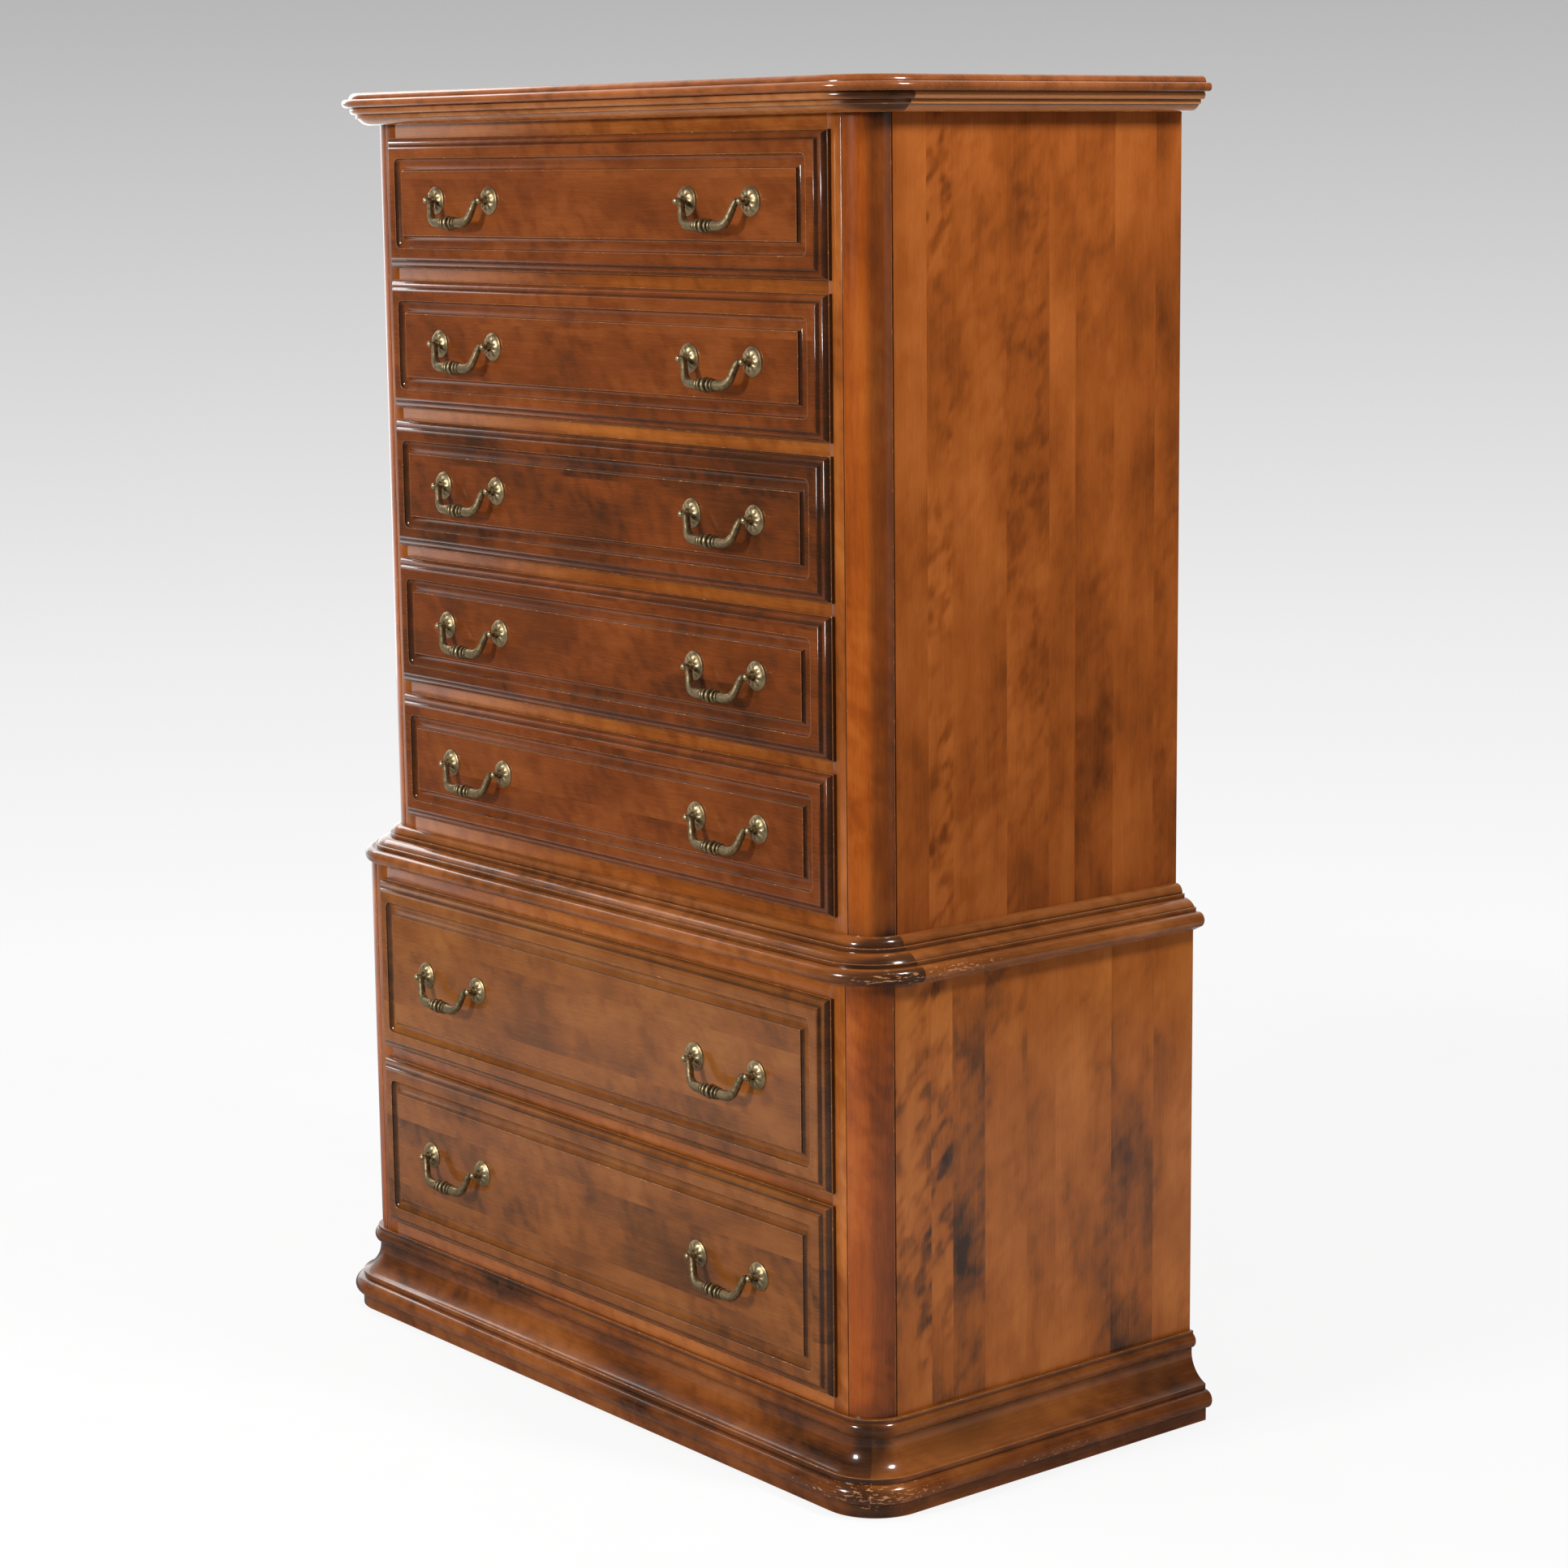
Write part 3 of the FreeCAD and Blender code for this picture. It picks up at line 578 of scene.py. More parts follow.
@dataclass(frozen=True)
class MetalFinish:
    """Old metal, dull in its hollows and rubbed bright where hands touch it.

    Attributes:
        name: Name of the material.
        bright: Colour of the rubbed metal.
        dull: Colour of the hollows.
    """

    name: str
    bright: Colour
    dull: Colour

    def material(self) -> bpy.types.Material:
        """Build the material.

        Returns:
            The material.
        """
        surface = Surface(self.name, {"Metallic": 1.0})
        wiring = surface.wiring
        masks = {"Hollow": wiring.layer("glaze"), "Rub": wiring.layer("wear")}
        age = metal_age().use(wiring, Place=wiring.place(), **masks)
        colour = wiring.mix(age["Dull"], linear(self.bright), linear(self.dull))
        return surface.join(colour, age["Roughness"], age["Height"], 0.35)


@dataclass(frozen=True)
class Mark:
    """A point of a section in metres, with the way walked to it, the glaze it holds and its wear."""

    out: float
    up: float
    girth: float
    glaze: float
    wear: float


class Section:
    """Outline of a section in millimetres, drawn with lines and arcs."""

    EASE = 0.6
    CORNER = math.radians(25)
    NEAR_ENDS = (0.8, 2.2, 5.0, 10.0)
    ARC_STEP = 1.4
    HOLLOW_REACH = 1.5
    HOLLOW_GLAZE = 0.85
    # Arrises get pale wear that is partly a painted highlight along the eased edges.
    ARRIS_REACH = 0.9
    ARRIS_WEAR_AND_SHEEN = 0.7

    def __init__(self, out: float, up: float, solid_left: bool = True) -> None:
        """Start the outline.

        Args:
            out: First coordinate of the start.
            up: Second coordinate of the start.
            solid_left: Whether the wood lies left of the walk.
        """
        self.points: list[Point] = [(out, up)]
        self.joints: set[int] = set()
        self.stains: set[int] = set()
        self.hand = 1.0 if solid_left else -1.0

    def end(self, out: float, up: float, stain: bool = False) -> "Section":
        """Close a step of the outline.

        Args:
            out: First coordinate of the end.
            up: Second coordinate of the end.
            stain: Whether glaze gathers there.

        Returns:
            The section.
        """
        self.points.append((out, up))
        self.joints.add(len(self.points) - 1)
        if stain:
            self.stains.add(len(self.points) - 1)
        return self

    def to(self, out: float, up: float, stain: bool = False) -> "Section":
        """Go straight to a point, with extra points near both ends.

        Args:
            out: First coordinate of the end.
            up: Second coordinate of the end.
            stain: Whether glaze gathers there.

        Returns:
            The section.
        """
        start = Vector(self.points[-1])
        way = Vector((out, up)) - start
        near = [distance for distance in self.NEAR_ENDS if distance < 0.45 * way.length]
        for distance in near + [way.length - distance for distance in reversed(near)]:
            self.points.append(tuple(start + way.normalized() * distance))
        return self.end(out, up, stain)

    def arc(self, through: Point, out: float, up: float) -> "Section":
        """Go round a circle through one point to another.

        Args:
            through: Point on the way.
            out: First coordinate of the end.
            up: Second coordinate of the end.

        Returns:
            The section.
        """
        first, middle, last = Vector(self.points[-1]), Vector(through), Vector((out, up))
        one, two = middle - first, last - first
        area = 2 * one.cross(two)
        centre = first + Vector((two.y * one.length_squared - one.y * two.length_squared,
                                 one.x * two.length_squared - two.x * one.length_squared)) / area
        spoke = first - centre
        radius = spoke.length
        start = math.atan2(spoke.y, spoke.x)
        sweep = (math.atan2(last.y - centre.y, last.x - centre.x) - start) % math.tau
        if area < 0:
            sweep -= math.tau
        steps = max(6, math.ceil(abs(sweep) * radius / self.ARC_STEP))
        for step in range(1, steps):
            angle = start + sweep * step / steps
            self.points.append((centre.x + radius * math.cos(angle), centre.y + radius * math.sin(angle)))
        return self.end(out, up)

    def bulge(self, out: float, up: float, rise: float) -> "Section":
        """Go to a point along an arc.

        Args:
            out: First coordinate of the end.
            up: Second coordinate of the end.
            rise: How far the arc stands out of the wood; below zero it goes into it.

        Returns:
            The section.
        """
        start, end = Vector(self.points[-1]), Vector((out, up))
        way = (end - start).normalized() * rise * self.hand
        middle = (start + end) / 2 + Vector((way.y, -way.x))
        return self.arc((middle.x, middle.y), out, up)

    def marks(self, closed: bool) -> list[Mark]:
        """Walk along the outline and ease its arrises.

        Args:
            closed: Whether the outline ends where it starts.

        Returns:
            Marks in walking order.
        """
        points = [Vector(point) for point in self.points]
        joints = self.joints | ({0} if closed else set())
        walked: list[Vector] = []
        arrises: list[int] = []
        hollows: list[int] = []
        for index, point in enumerate(points):
            if index in self.stains:
                hollows.append(len(walked))
            last = index == len(points) - 1
            if index not in joints or (last and not closed):
                walked.append(point)
                continue
            before = point - points[index - 1]
            after = points[(index + 1) % len(points)] - point
            turn = self.hand * math.atan2(before.cross(after), before.dot(after))
            if turn > self.CORNER:
                ease = min(self.EASE, 0.4 * before.length, 0.4 * after.length)
                first, second = point - before.normalized() * ease, point + after.normalized() * ease
                arrises.append(len(walked) + 1)
                walked += [first, (first + 2 * point + second) / 4, second]
                continue
            if turn < -self.CORNER:
                hollows.append(len(walked))
            walked.append(point)
        girth = [0.0]
        for first, second in zip(walked, walked[1:]):
            girth.append(girth[-1] + (second - first).length)

        def near(places: Iterable[int], here: float, reach: float) -> float:
            """How near a place on the walk is to any of some points."""
            return max((math.exp(-abs(here - girth[place]) / reach) for place in places), default=0.0)

        return [Mark(point.x * MM, point.y * MM, here * MM,
                     self.HOLLOW_GLAZE * near(hollows, here, self.HOLLOW_REACH),
                     self.ARRIS_WEAR_AND_SHEEN * near(arrises, here, self.ARRIS_REACH))
                for point, here in zip(walked, girth)]


@dataclass(frozen=True)
class Spot:
    """A worn or stained place on a piece.

    Attributes:
        layer: Layer that it adds to.
        centre: Place in metres.
        reach: Half lengths along x, y and z in metres.
        strength: Value added in the middle.
    """

    layer: Layer
    centre: Triple
    reach: Triple
    strength: float

    def value(self, place: Vector) -> float:
        """Value added at a place."""
        shares = [(here - middle) / half for here, middle, half in zip(place, self.centre, self.reach)]
        return self.strength * math.exp(-sum(share * share for share in shares))


class Piece:
    """A mesh in the making, with layers that its finish reads."""

    count = 0
    EASE = 0.8 * MM
    EASED_TONE = 0.12

    def __init__(self, name: str) -> None:
        """Start an empty mesh with the layers for grain, glaze, wear, scuff and tone.

        Args:
            name: Name of the piece.
        """
        Piece.count += 1
        self.name = name
        self.shift = Vector([Piece.count * share % 4 for share in (0.731, 1.317, 0.473)])
        self.mesh = bmesh.new()
        self.order = self.mesh.verts.layers.int.new("order")
        self.grain = self.mesh.verts.layers.float_vector.new("grain")
        self.glaze = self.mesh.verts.layers.float.new("glaze")
        self.wear = self.mesh.verts.layers.float.new("wear")
        self.scuff = self.mesh.verts.layers.float.new("scuff")
        self.tone = self.mesh.faces.layers.float.new("tone")

    def loop(self, marks: Sequence[Mark], place: Callable[[Mark], Vector], closed: bool = True) -> Edges:
        """Lay the marks of a section as a line of edges.

        Args:
            marks: Marks of the section.
            place: Place of a mark in metres.
            closed: Whether the last mark joins the first.

        Returns:
            The new edges.
        """
        verts = []
        for number, mark in enumerate(marks):
            vert = self.mesh.verts.new(place(mark))
            vert[self.order] = number
            vert[self.grain] = Vector((0.0, mark.girth, 0.0))
            vert[self.glaze] = mark.glaze
            vert[self.wear] = mark.wear
            verts.append(vert)
        following = verts[1:] + (verts[:1] if closed else [])
        return [self.mesh.edges.new(pair) for pair in zip(verts, following)]

    def extend(self, edges: Edges) -> tuple[Edges, list[bmesh.types.BMVert]]:
        """Extrude a line of edges in place.

        Args:
            edges: The line.

        Returns:
            The new edges and vertices.
        """
        made = bmesh.ops.extrude_edge_only(self.mesh, edges=edges)["geom"]
        verts = [item for item in made if isinstance(item, bmesh.types.BMVert)]
        new = set(verts)
        lines = [item for item in made if isinstance(item, bmesh.types.BMEdge) and set(item.verts) <= new]
        return lines, verts

    def pull(self, edges: Edges, steps: Iterable[Vector]) -> Edges:
        """Extrude a line of edges step by step.

        Args:
            edges: The line.
            steps: Steps in metres, one after the other.

        Returns:
            The edges at the end.
        """
        for step in steps:
            edges, verts = self.extend(edges)
            bmesh.ops.translate(self.mesh, verts=verts, vec=step)
        return edges

    def spin(self, edges: Edges, centre: Vector, axis: Vector, degrees: float, steps: int) -> Edges:
        """Turn a line of edges round an axis.

        Args:
            edges: The line.
            centre: Point on the axis.
            axis: Direction of the axis.
            degrees: Angle; a full turn is merged.
            steps: Number of steps.

        Returns:
            The edges at the end of the turn.
        """
        made = bmesh.ops.spin(self.mesh, geom=edges, cent=centre, axis=axis, angle=math.radians(degrees),
                              steps=steps, use_merge=degrees == FULL_TURN)
        return [item for item in made["geom_last"] if isinstance(item, bmesh.types.BMEdge)]

    def cap(self, edges: Edges) -> None:
        """Close a loop of edges with a face."""
        bmesh.ops.contextual_create(self.mesh, geom=edges)

    def rings(self, rows: Sequence[Sequence[Vector]], marks: Sequence[Mark]) -> None:
        """Build a skin from ring to ring and close both ends.

        Args:
            rows: Places of each ring, all with the same number.
            marks: Glaze and wear of each ring.
        """
        blank = [Mark(0.0, 0.0, 0.0, marks[0].glaze, marks[0].wear) for _ in rows[0]]
        places = iter(rows[0])
        edges = self.loop(blank, lambda _: next(places))
        self.cap(edges)
        for row, mark in zip(rows[1:], marks[1:]):
            edges, verts = self.extend(edges)
            for vert in verts:
                vert.co = row[vert[self.order]]
                vert[self.glaze] = mark.glaze
                vert[self.wear] = mark.wear
        self.cap(edges)

    def board(self, low: Vector, high: Vector, axis: Axis, tone: float = 0.0, ease: float = EASE) -> None:
        """Add a board with eased arrises.

        Args:
            low: Lowest corner.
            high: Highest corner.
            axis: Direction of its fibre.
            tone: How much lighter than the finish it is.
            ease: Width of the eased arrises.
        """
        place = Matrix.Translation((low + high) / 2) @ Matrix.Diagonal((*(high - low), 1.0))
        made = bmesh.ops.create_cube(self.mesh, size=1.0, matrix=place)["verts"]
        edges = list({edge for vert in made for edge in vert.link_edges})
        eased = bmesh.ops.bevel(self.mesh, geom=edges, offset=ease, offset_type="OFFSET", affect="EDGES",
                                segments=2, profile=0.5, material=-1)
        for vert in eased["verts"]:
            vert[self.grain] = axis.turned(vert.co) + self.shift + 3.7 * low
            for face in vert.link_faces:
                face[self.tone] = tone
        for face in eased["faces"]:
            face[self.tone] = tone + self.EASED_TONE

    def rod(self, middle: Vector, radii: Point, depth: float, segments: int) -> None:
        """Add a closed rod that lies from front to back.

        Args:
            middle: Middle of the rod.
            radii: Radius at the back and at the front.
            depth: Length of the rod.
            segments: Sides of the rod.
        """
        lie = Matrix.Translation(middle) @ Matrix.Rotation(math.pi / 2, 4, "X")
        bmesh.ops.create_cone(self.mesh, cap_ends=True, segments=segments, radius1=radii[0],
                              radius2=radii[1], depth=depth, matrix=lie)

    def lay_grain(self, axis: Axis) -> None:
        """Lay straight grain over the whole piece."""
        for vert in self.mesh.verts:
            vert[self.grain] = axis.turned(vert.co) + self.shift

    def tint(self, tone: float) -> None:
        """Make the whole piece lighter than its finish."""
        for face in self.mesh.faces:
            face[self.tone] = tone

    def wear_in(self, spots: Iterable[Spot]) -> None:
        """Add worn and stained places.

        Args:
            spots: The places.
        """
        layers = {Layer.GLAZE: self.glaze, Layer.SCUFF: self.scuff}
        for spot in spots:
            for vert in self.mesh.verts:
                vert[layers[spot.layer]] += spot.value(vert.co)

    def mirror(self, merge: float = SEAM) -> None:
        """Mirror everything to the other side of the middle."""
        everything = self.mesh.verts[:] + self.mesh.edges[:] + self.mesh.faces[:]
        bmesh.ops.mirror(self.mesh, geom=everything, matrix=Matrix.Identity(4), merge_dist=merge, axis="X")

    def finish(self, body: str, slot: str, material: bpy.types.Material, nodes: Sequence[str],
               merge: bool = True, sharp: float = 35.0) -> None:
        """Turn the mesh into a piece of the object.

        Args:
            body: Body that the piece rides on.
            slot: Appearance slot; not used.
            material: Finish of the piece.
            nodes: CAD nodes that it replaces.
            merge: Whether points in one place are merged.
            sharp: Angle in degrees above which an edge stays sharp.
        """
        if merge:
            bmesh.ops.remove_doubles(self.mesh, verts=self.mesh.verts[:], dist=SEAM)
        bmesh.ops.recalc_face_normals(self.mesh, faces=self.mesh.faces[:])
        self.mesh.verts.layers.int.remove(self.order)
        data = bpy.data.meshes.new(self.name)
        self.mesh.to_mesh(data)
        self.mesh.free()
        data.shade_smooth()
        data.set_sharp_from_angle(angle=math.radians(sharp))
        data.materials.append(material)
        piece = link(self.name, data)
        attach(piece, body)
        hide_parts(*nodes)
        log.info("%s: %d faces", self.name, len(data.polygons))


@dataclass(frozen=True)
class Case:
    """Outside of one case in metres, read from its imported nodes.

    Attributes:
        name: Start of the names of its nodes.
        half: Half of the width.
        face: Depth place of the front.
        back: Depth place of the back.
        radius: Radius of the rounded corners.
    """

    name: str
    half: float
    face: float
    back: float
    radius: float = 38 * MM

    @classmethod
    def read(cls, name: str) -> "Case":
        """Read the case from the frame."""
        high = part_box(f"{name}_side_right")[1]
        return cls(name, high.x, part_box(f"{name}_face_frame")[0].y, high.y)

    @property
    def turn(self) -> Vector:
        """Middle of the rounded corner on the right, in plan."""
        return Vector((self.half - self.radius, self.face + self.radius, 0.0))


def steps_along(axis: Axis, start: float, end: float) -> list[Vector]:
    """Equal steps along an axis that lead from one place to another."""
    count = max(1, round(abs(end - start) / RUN_STEP))
    return [axis.unit * ((end - start) / count)] * count


@dataclass
class Moulding:
    """A moulding along the front and both sides of a case.

    Attributes:
        name: Start of the names of its nodes.
        case: Case that it runs round.
        section: Section; out counts from the case, up from the foot of the moulding.
        turn: Degrees of the corner that belong to the front run.
        front_finish: Finish of the front run.
        side_finish: Finish of the side runs.
        tones: How much lighter the front and the side runs are than their finish.
        spots: Worn and stained places.
        corner_girth: Length of grain that goes round a corner.
    """

    name: str
    case: Case
    section: Section
    turn: float
    front_finish: bpy.types.Material
    side_finish: bpy.types.Material
    tones: Point = (0.0, 0.0)
    spots: tuple[Spot, ...] = ()
    corner_girth: float = 90 * MM

    def along(self, place: Vector) -> float:
        """Measure the way along the moulding from the middle of the front.

        Args:
            place: Place on the moulding.

        Returns:
            The way in metres, below zero on the left.
        """
        turn = self.case.turn
        across = abs(place.x)
        if across <= turn.x:
            return place.x
        if place.y >= turn.y:
            return math.copysign(turn.x + self.corner_girth + place.y - turn.y, place.x)
        angle = math.atan2(across - turn.x, turn.y - place.y)
        return math.copysign(turn.x + self.corner_girth * angle / (math.pi / 2), place.x)

    def dress(self, piece: Piece, node: str, tone: float, finish: bpy.types.Material) -> None:
        """Let the grain follow the run, tint and wear it, and finish the piece.

        Args:
            piece: The run.
            node: CAD node that it replaces.
            tone: How much lighter it is than its finish.
            finish: Its finish.
        """
        for vert in piece.mesh.verts:
            across = vert[piece.grain].y
            vert[piece.grain] = Vector((self.along(vert.co), across, 0.0)) + piece.shift
        piece.tint(tone)
        piece.wear_in(self.spots)
        piece.finish(CARCASE, "moulding_wood", finish, [node])

    def front(self) -> None:
        """Build the front run, which turns both corners."""
        node = f"{self.name}_front"
        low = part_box(node)[0].z
        piece = Piece(f"{node}_run")
        turn = self.case.turn
        marks = self.section.marks(closed=True)
        edges = piece.loop(marks, lambda mark: Vector((0.0, self.case.face - mark.out, low + mark.up)))
        edges = piece.pull(edges, steps_along(Axis.X, 0.0, turn.x))
        piece.cap(piece.spin(edges, turn, Axis.Z.unit, self.turn, round(self.turn / TURN_STEP)))
        piece.mirror()
        self.dress(piece, node, self.tones[0], self.front_finish)

    def side(self, side: Side) -> None:
        """Build a side run.

        Args:
            side: Side on which it runs.
        """
        node = f"{self.name}_{side.word}"
        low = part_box(node)[0].z
        piece = Piece(f"{node}_run")
        turn = self.case.turn
        marks = self.section.marks(closed=True)
        edges = piece.loop(marks, lambda mark: Vector((self.case.half + mark.out, turn.y, low + mark.up)))
        piece.cap(piece.pull(edges, steps_along(Axis.Y, turn.y, self.case.back)))
        rest = 90 - self.turn
        if rest:
            edges = piece.spin(edges, turn, Axis.Z.unit, -rest, round(rest / TURN_STEP))
        piece.cap(edges)
        if side is Side.LEFT:
            bmesh.ops.scale(piece.mesh, vec=(-1.0, 1.0, 1.0), verts=piece.mesh.verts[:])
        self.dress(piece, node, self.tones[1], self.side_finish)

    def build(self) -> None:
        """Build all three runs."""
        self.front()
        for side in Side:
            self.side(side)


@dataclass
class TopBoard:
    """The top, one board with a moulded edge.

    Attributes:
        case: Case that it covers.
        section: Section of the edge; out counts from the case, up from the underside.
        finish: Finish of the board.
    """

    case: Case
    section: Section
    finish: bpy.types.Material

    def build(self) -> None:
        """Build the moulded edge round three sides and close the board."""
        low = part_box("top_board")[0].z
        piece = Piece("top_board_moulded")
        turn = self.case.turn
        face, back = self.case.face, self.case.back
        marks = self.section.marks(closed=False)
        edges = piece.loop(marks, lambda mark: Vector((0.0, face - mark.out, low + mark.up)), closed=False)
        edges = piece.pull(edges, steps_along(Axis.X, 0.0, turn.x))
        edges = piece.spin(edges, turn, Axis.Z.unit, 90, 90 // TURN_STEP)
        piece.pull(edges, steps_along(Axis.Y, turn.y, back))
        piece.mirror()
        rear = [vert for vert in piece.mesh.verts if vert.co.y > back - 10 * SEAM]
        for lowest_or_highest in (min, max):
            level = lowest_or_highest(vert.co.z for vert in rear)
            ends = [vert for vert in rear if abs(vert.co.z - level) < SEAM]
            piece.mesh.edges.new(sorted(ends, key=lambda vert: abs(vert.co.x))[:2])
        rims = [edge for edge in piece.mesh.edges if edge.is_boundary or edge.is_wire]
        bmesh.ops.holes_fill(piece.mesh, edges=rims)
        piece.lay_grain(Axis.X)
        piece.finish(CARCASE, "top_wood", self.finish, ["top_board"])


@dataclass
class CornerPosts:
    """Quarter-round posts at both front corners of a case.

    Attributes:
        case: Case that they belong to.
        shown: Lowest and highest place in sight.
        shade: How dark the painted shade is toward the sides; it stands for a dark reflection there.
        finish: Finish of the posts.
        quirk: Depth in mm of the groove beside the round.
        shaded: Degrees round the post between which the painted shade gets darker.
        near_ends: Distances from the ends in sight at which the post has rings.
        end_shade: Painted shade at the ends in sight, where the mouldings meet the post.
        end_reach: How far that painted shade reaches.
    """

    case: Case
    shown: Point
    shade: float
    finish: bpy.types.Material
    quirk: float = 2.0
    shaded: Point = (36, 56)
    near_ends: tuple[float, ...] = (3 * MM, 8 * MM, 20 * MM, 50 * MM)
    end_shade: float = 0.5
    end_reach: float = 12 * MM

    def plan(self) -> Section:
        """Draw the post in plan, from the middle of the rounded corner.

        Returns:
            The section.
        """
        radius = self.case.radius / MM
        lean = math.sqrt(radius ** 2 - self.quirk ** 2)
        slant = radius * math.sqrt(0.5)
        plan = Section(0.0, 0.0).to(0.0, self.quirk - radius, stain=True).to(self.quirk, -lean)
        return plan.arc((slant, -slant), lean, -self.quirk).to(radius - self.quirk, 0.0, stain=True)

    def stain(self, piece: Piece) -> None:
        """Lay the grain and paint shade at the ends in sight and toward the side of the round.

        Args:
            piece: The right post.
        """
        start, end = self.shaded
        for vert in piece.mesh.verts:
            vert[piece.grain] = Vector((vert.co.z, vert[piece.grain].y, 0.0)) + piece.shift
            gap = min(abs(vert.co.z - level) for level in self.shown)
            offset = vert.co - self.case.turn
            angle = math.degrees(math.atan2(offset.x, -offset.y))
            share = min(1.0, max(0.0, (angle - start) / (end - start)))
            # Painted shade at the ends in sight, where the mouldings meet the post.
            vert[piece.glaze] += self.end_shade * math.exp(-gap / self.end_reach)
            # Painted shade toward the side of the round, standing in for a dark reflection there.
            vert[piece.glaze] += self.shade * share * share * (3 - 2 * share)

    def build(self) -> None:
        """Build the right post and mirror it."""
        node = f"{self.case.name}_corner_posts"
        low, high = (corner.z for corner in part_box(node))
        piece = Piece(f"{node}_turned")
        turn = self.case.turn
        marks = self.plan().marks(closed=True)
        edges = piece.loop(marks, lambda mark: turn + Vector((mark.out, mark.up, low)))
        piece.cap(edges)
        bottom, top = self.shown
        rising = [bottom + step for step in self.near_ends]
        ending = [top - step for step in reversed(self.near_ends)]
        levels = [low, bottom, *rising, *ending, top, high]
        edges = piece.pull(edges, [Vector((0.0, 0.0, end - start)) for start, end in zip(levels, levels[1:])])
        piece.cap(edges)
        self.stain(piece)
        piece.mirror(0.0)
        piece.finish(CARCASE, "post_wood", self.finish, [node])


@dataclass
class FaceFrame:
    """Stiles and rails between the drawers of a case.

    Attributes:
        case: Case that it belongs to.
        drawers: Numbers of the drawers from the top down.
        finish: Finish of the boards.
        lip: How far a drawer front laps over its opening.
        stile: Thickness of the stiles.
        rail: Depth of the rails.
        stile_tone: How much lighter the right stile is, and how much darker the left one.
        rail_tones: How much lighter each rail is, from the top down.
    """

    case: Case
    drawers: range
    finish: bpy.types.Material
    lip: float = 6 * MM
    stile: float = 20 * MM
    rail: float = 38 * MM
    stile_tone: float = 0.05
    rail_tones: tuple[float, ...] = (0.1, -0.04, 0.06, 0.0, 0.08, -0.02)

    def build(self) -> None:
        """Build two stiles and the rails round the drawer openings."""
        node = f"{self.case.name}_face_frame"
        low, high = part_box(node)
        piece = Piece(f"{node}_boards")
        fronts = [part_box(f"drawer_{number}_front") for number in self.drawers]
        opening = fronts[0][1].x - self.lip
        face = self.case.face
        for side in Side:
            left, right = sorted((side.value * opening, side.value * high.x))
            foot, head = Vector((left, face, low.z)), Vector((right, face + self.stile, high.z))
            piece.board(foot, head, Axis.Z, self.stile_tone * side.value)
        heads = [high.z] + [front[0].z + self.lip for front in fronts]
        feet = [front[1].z - self.lip for front in fronts] + [low.z]
        for foot, head, tone in zip(feet, heads, self.rail_tones):
            start, end = Vector((-opening, face, foot)), Vector((opening, face + self.rail, head))
            piece.board(start, end, Axis.X, tone)
        piece.finish(CARCASE, "frame_wood", self.finish, [node], merge=False)


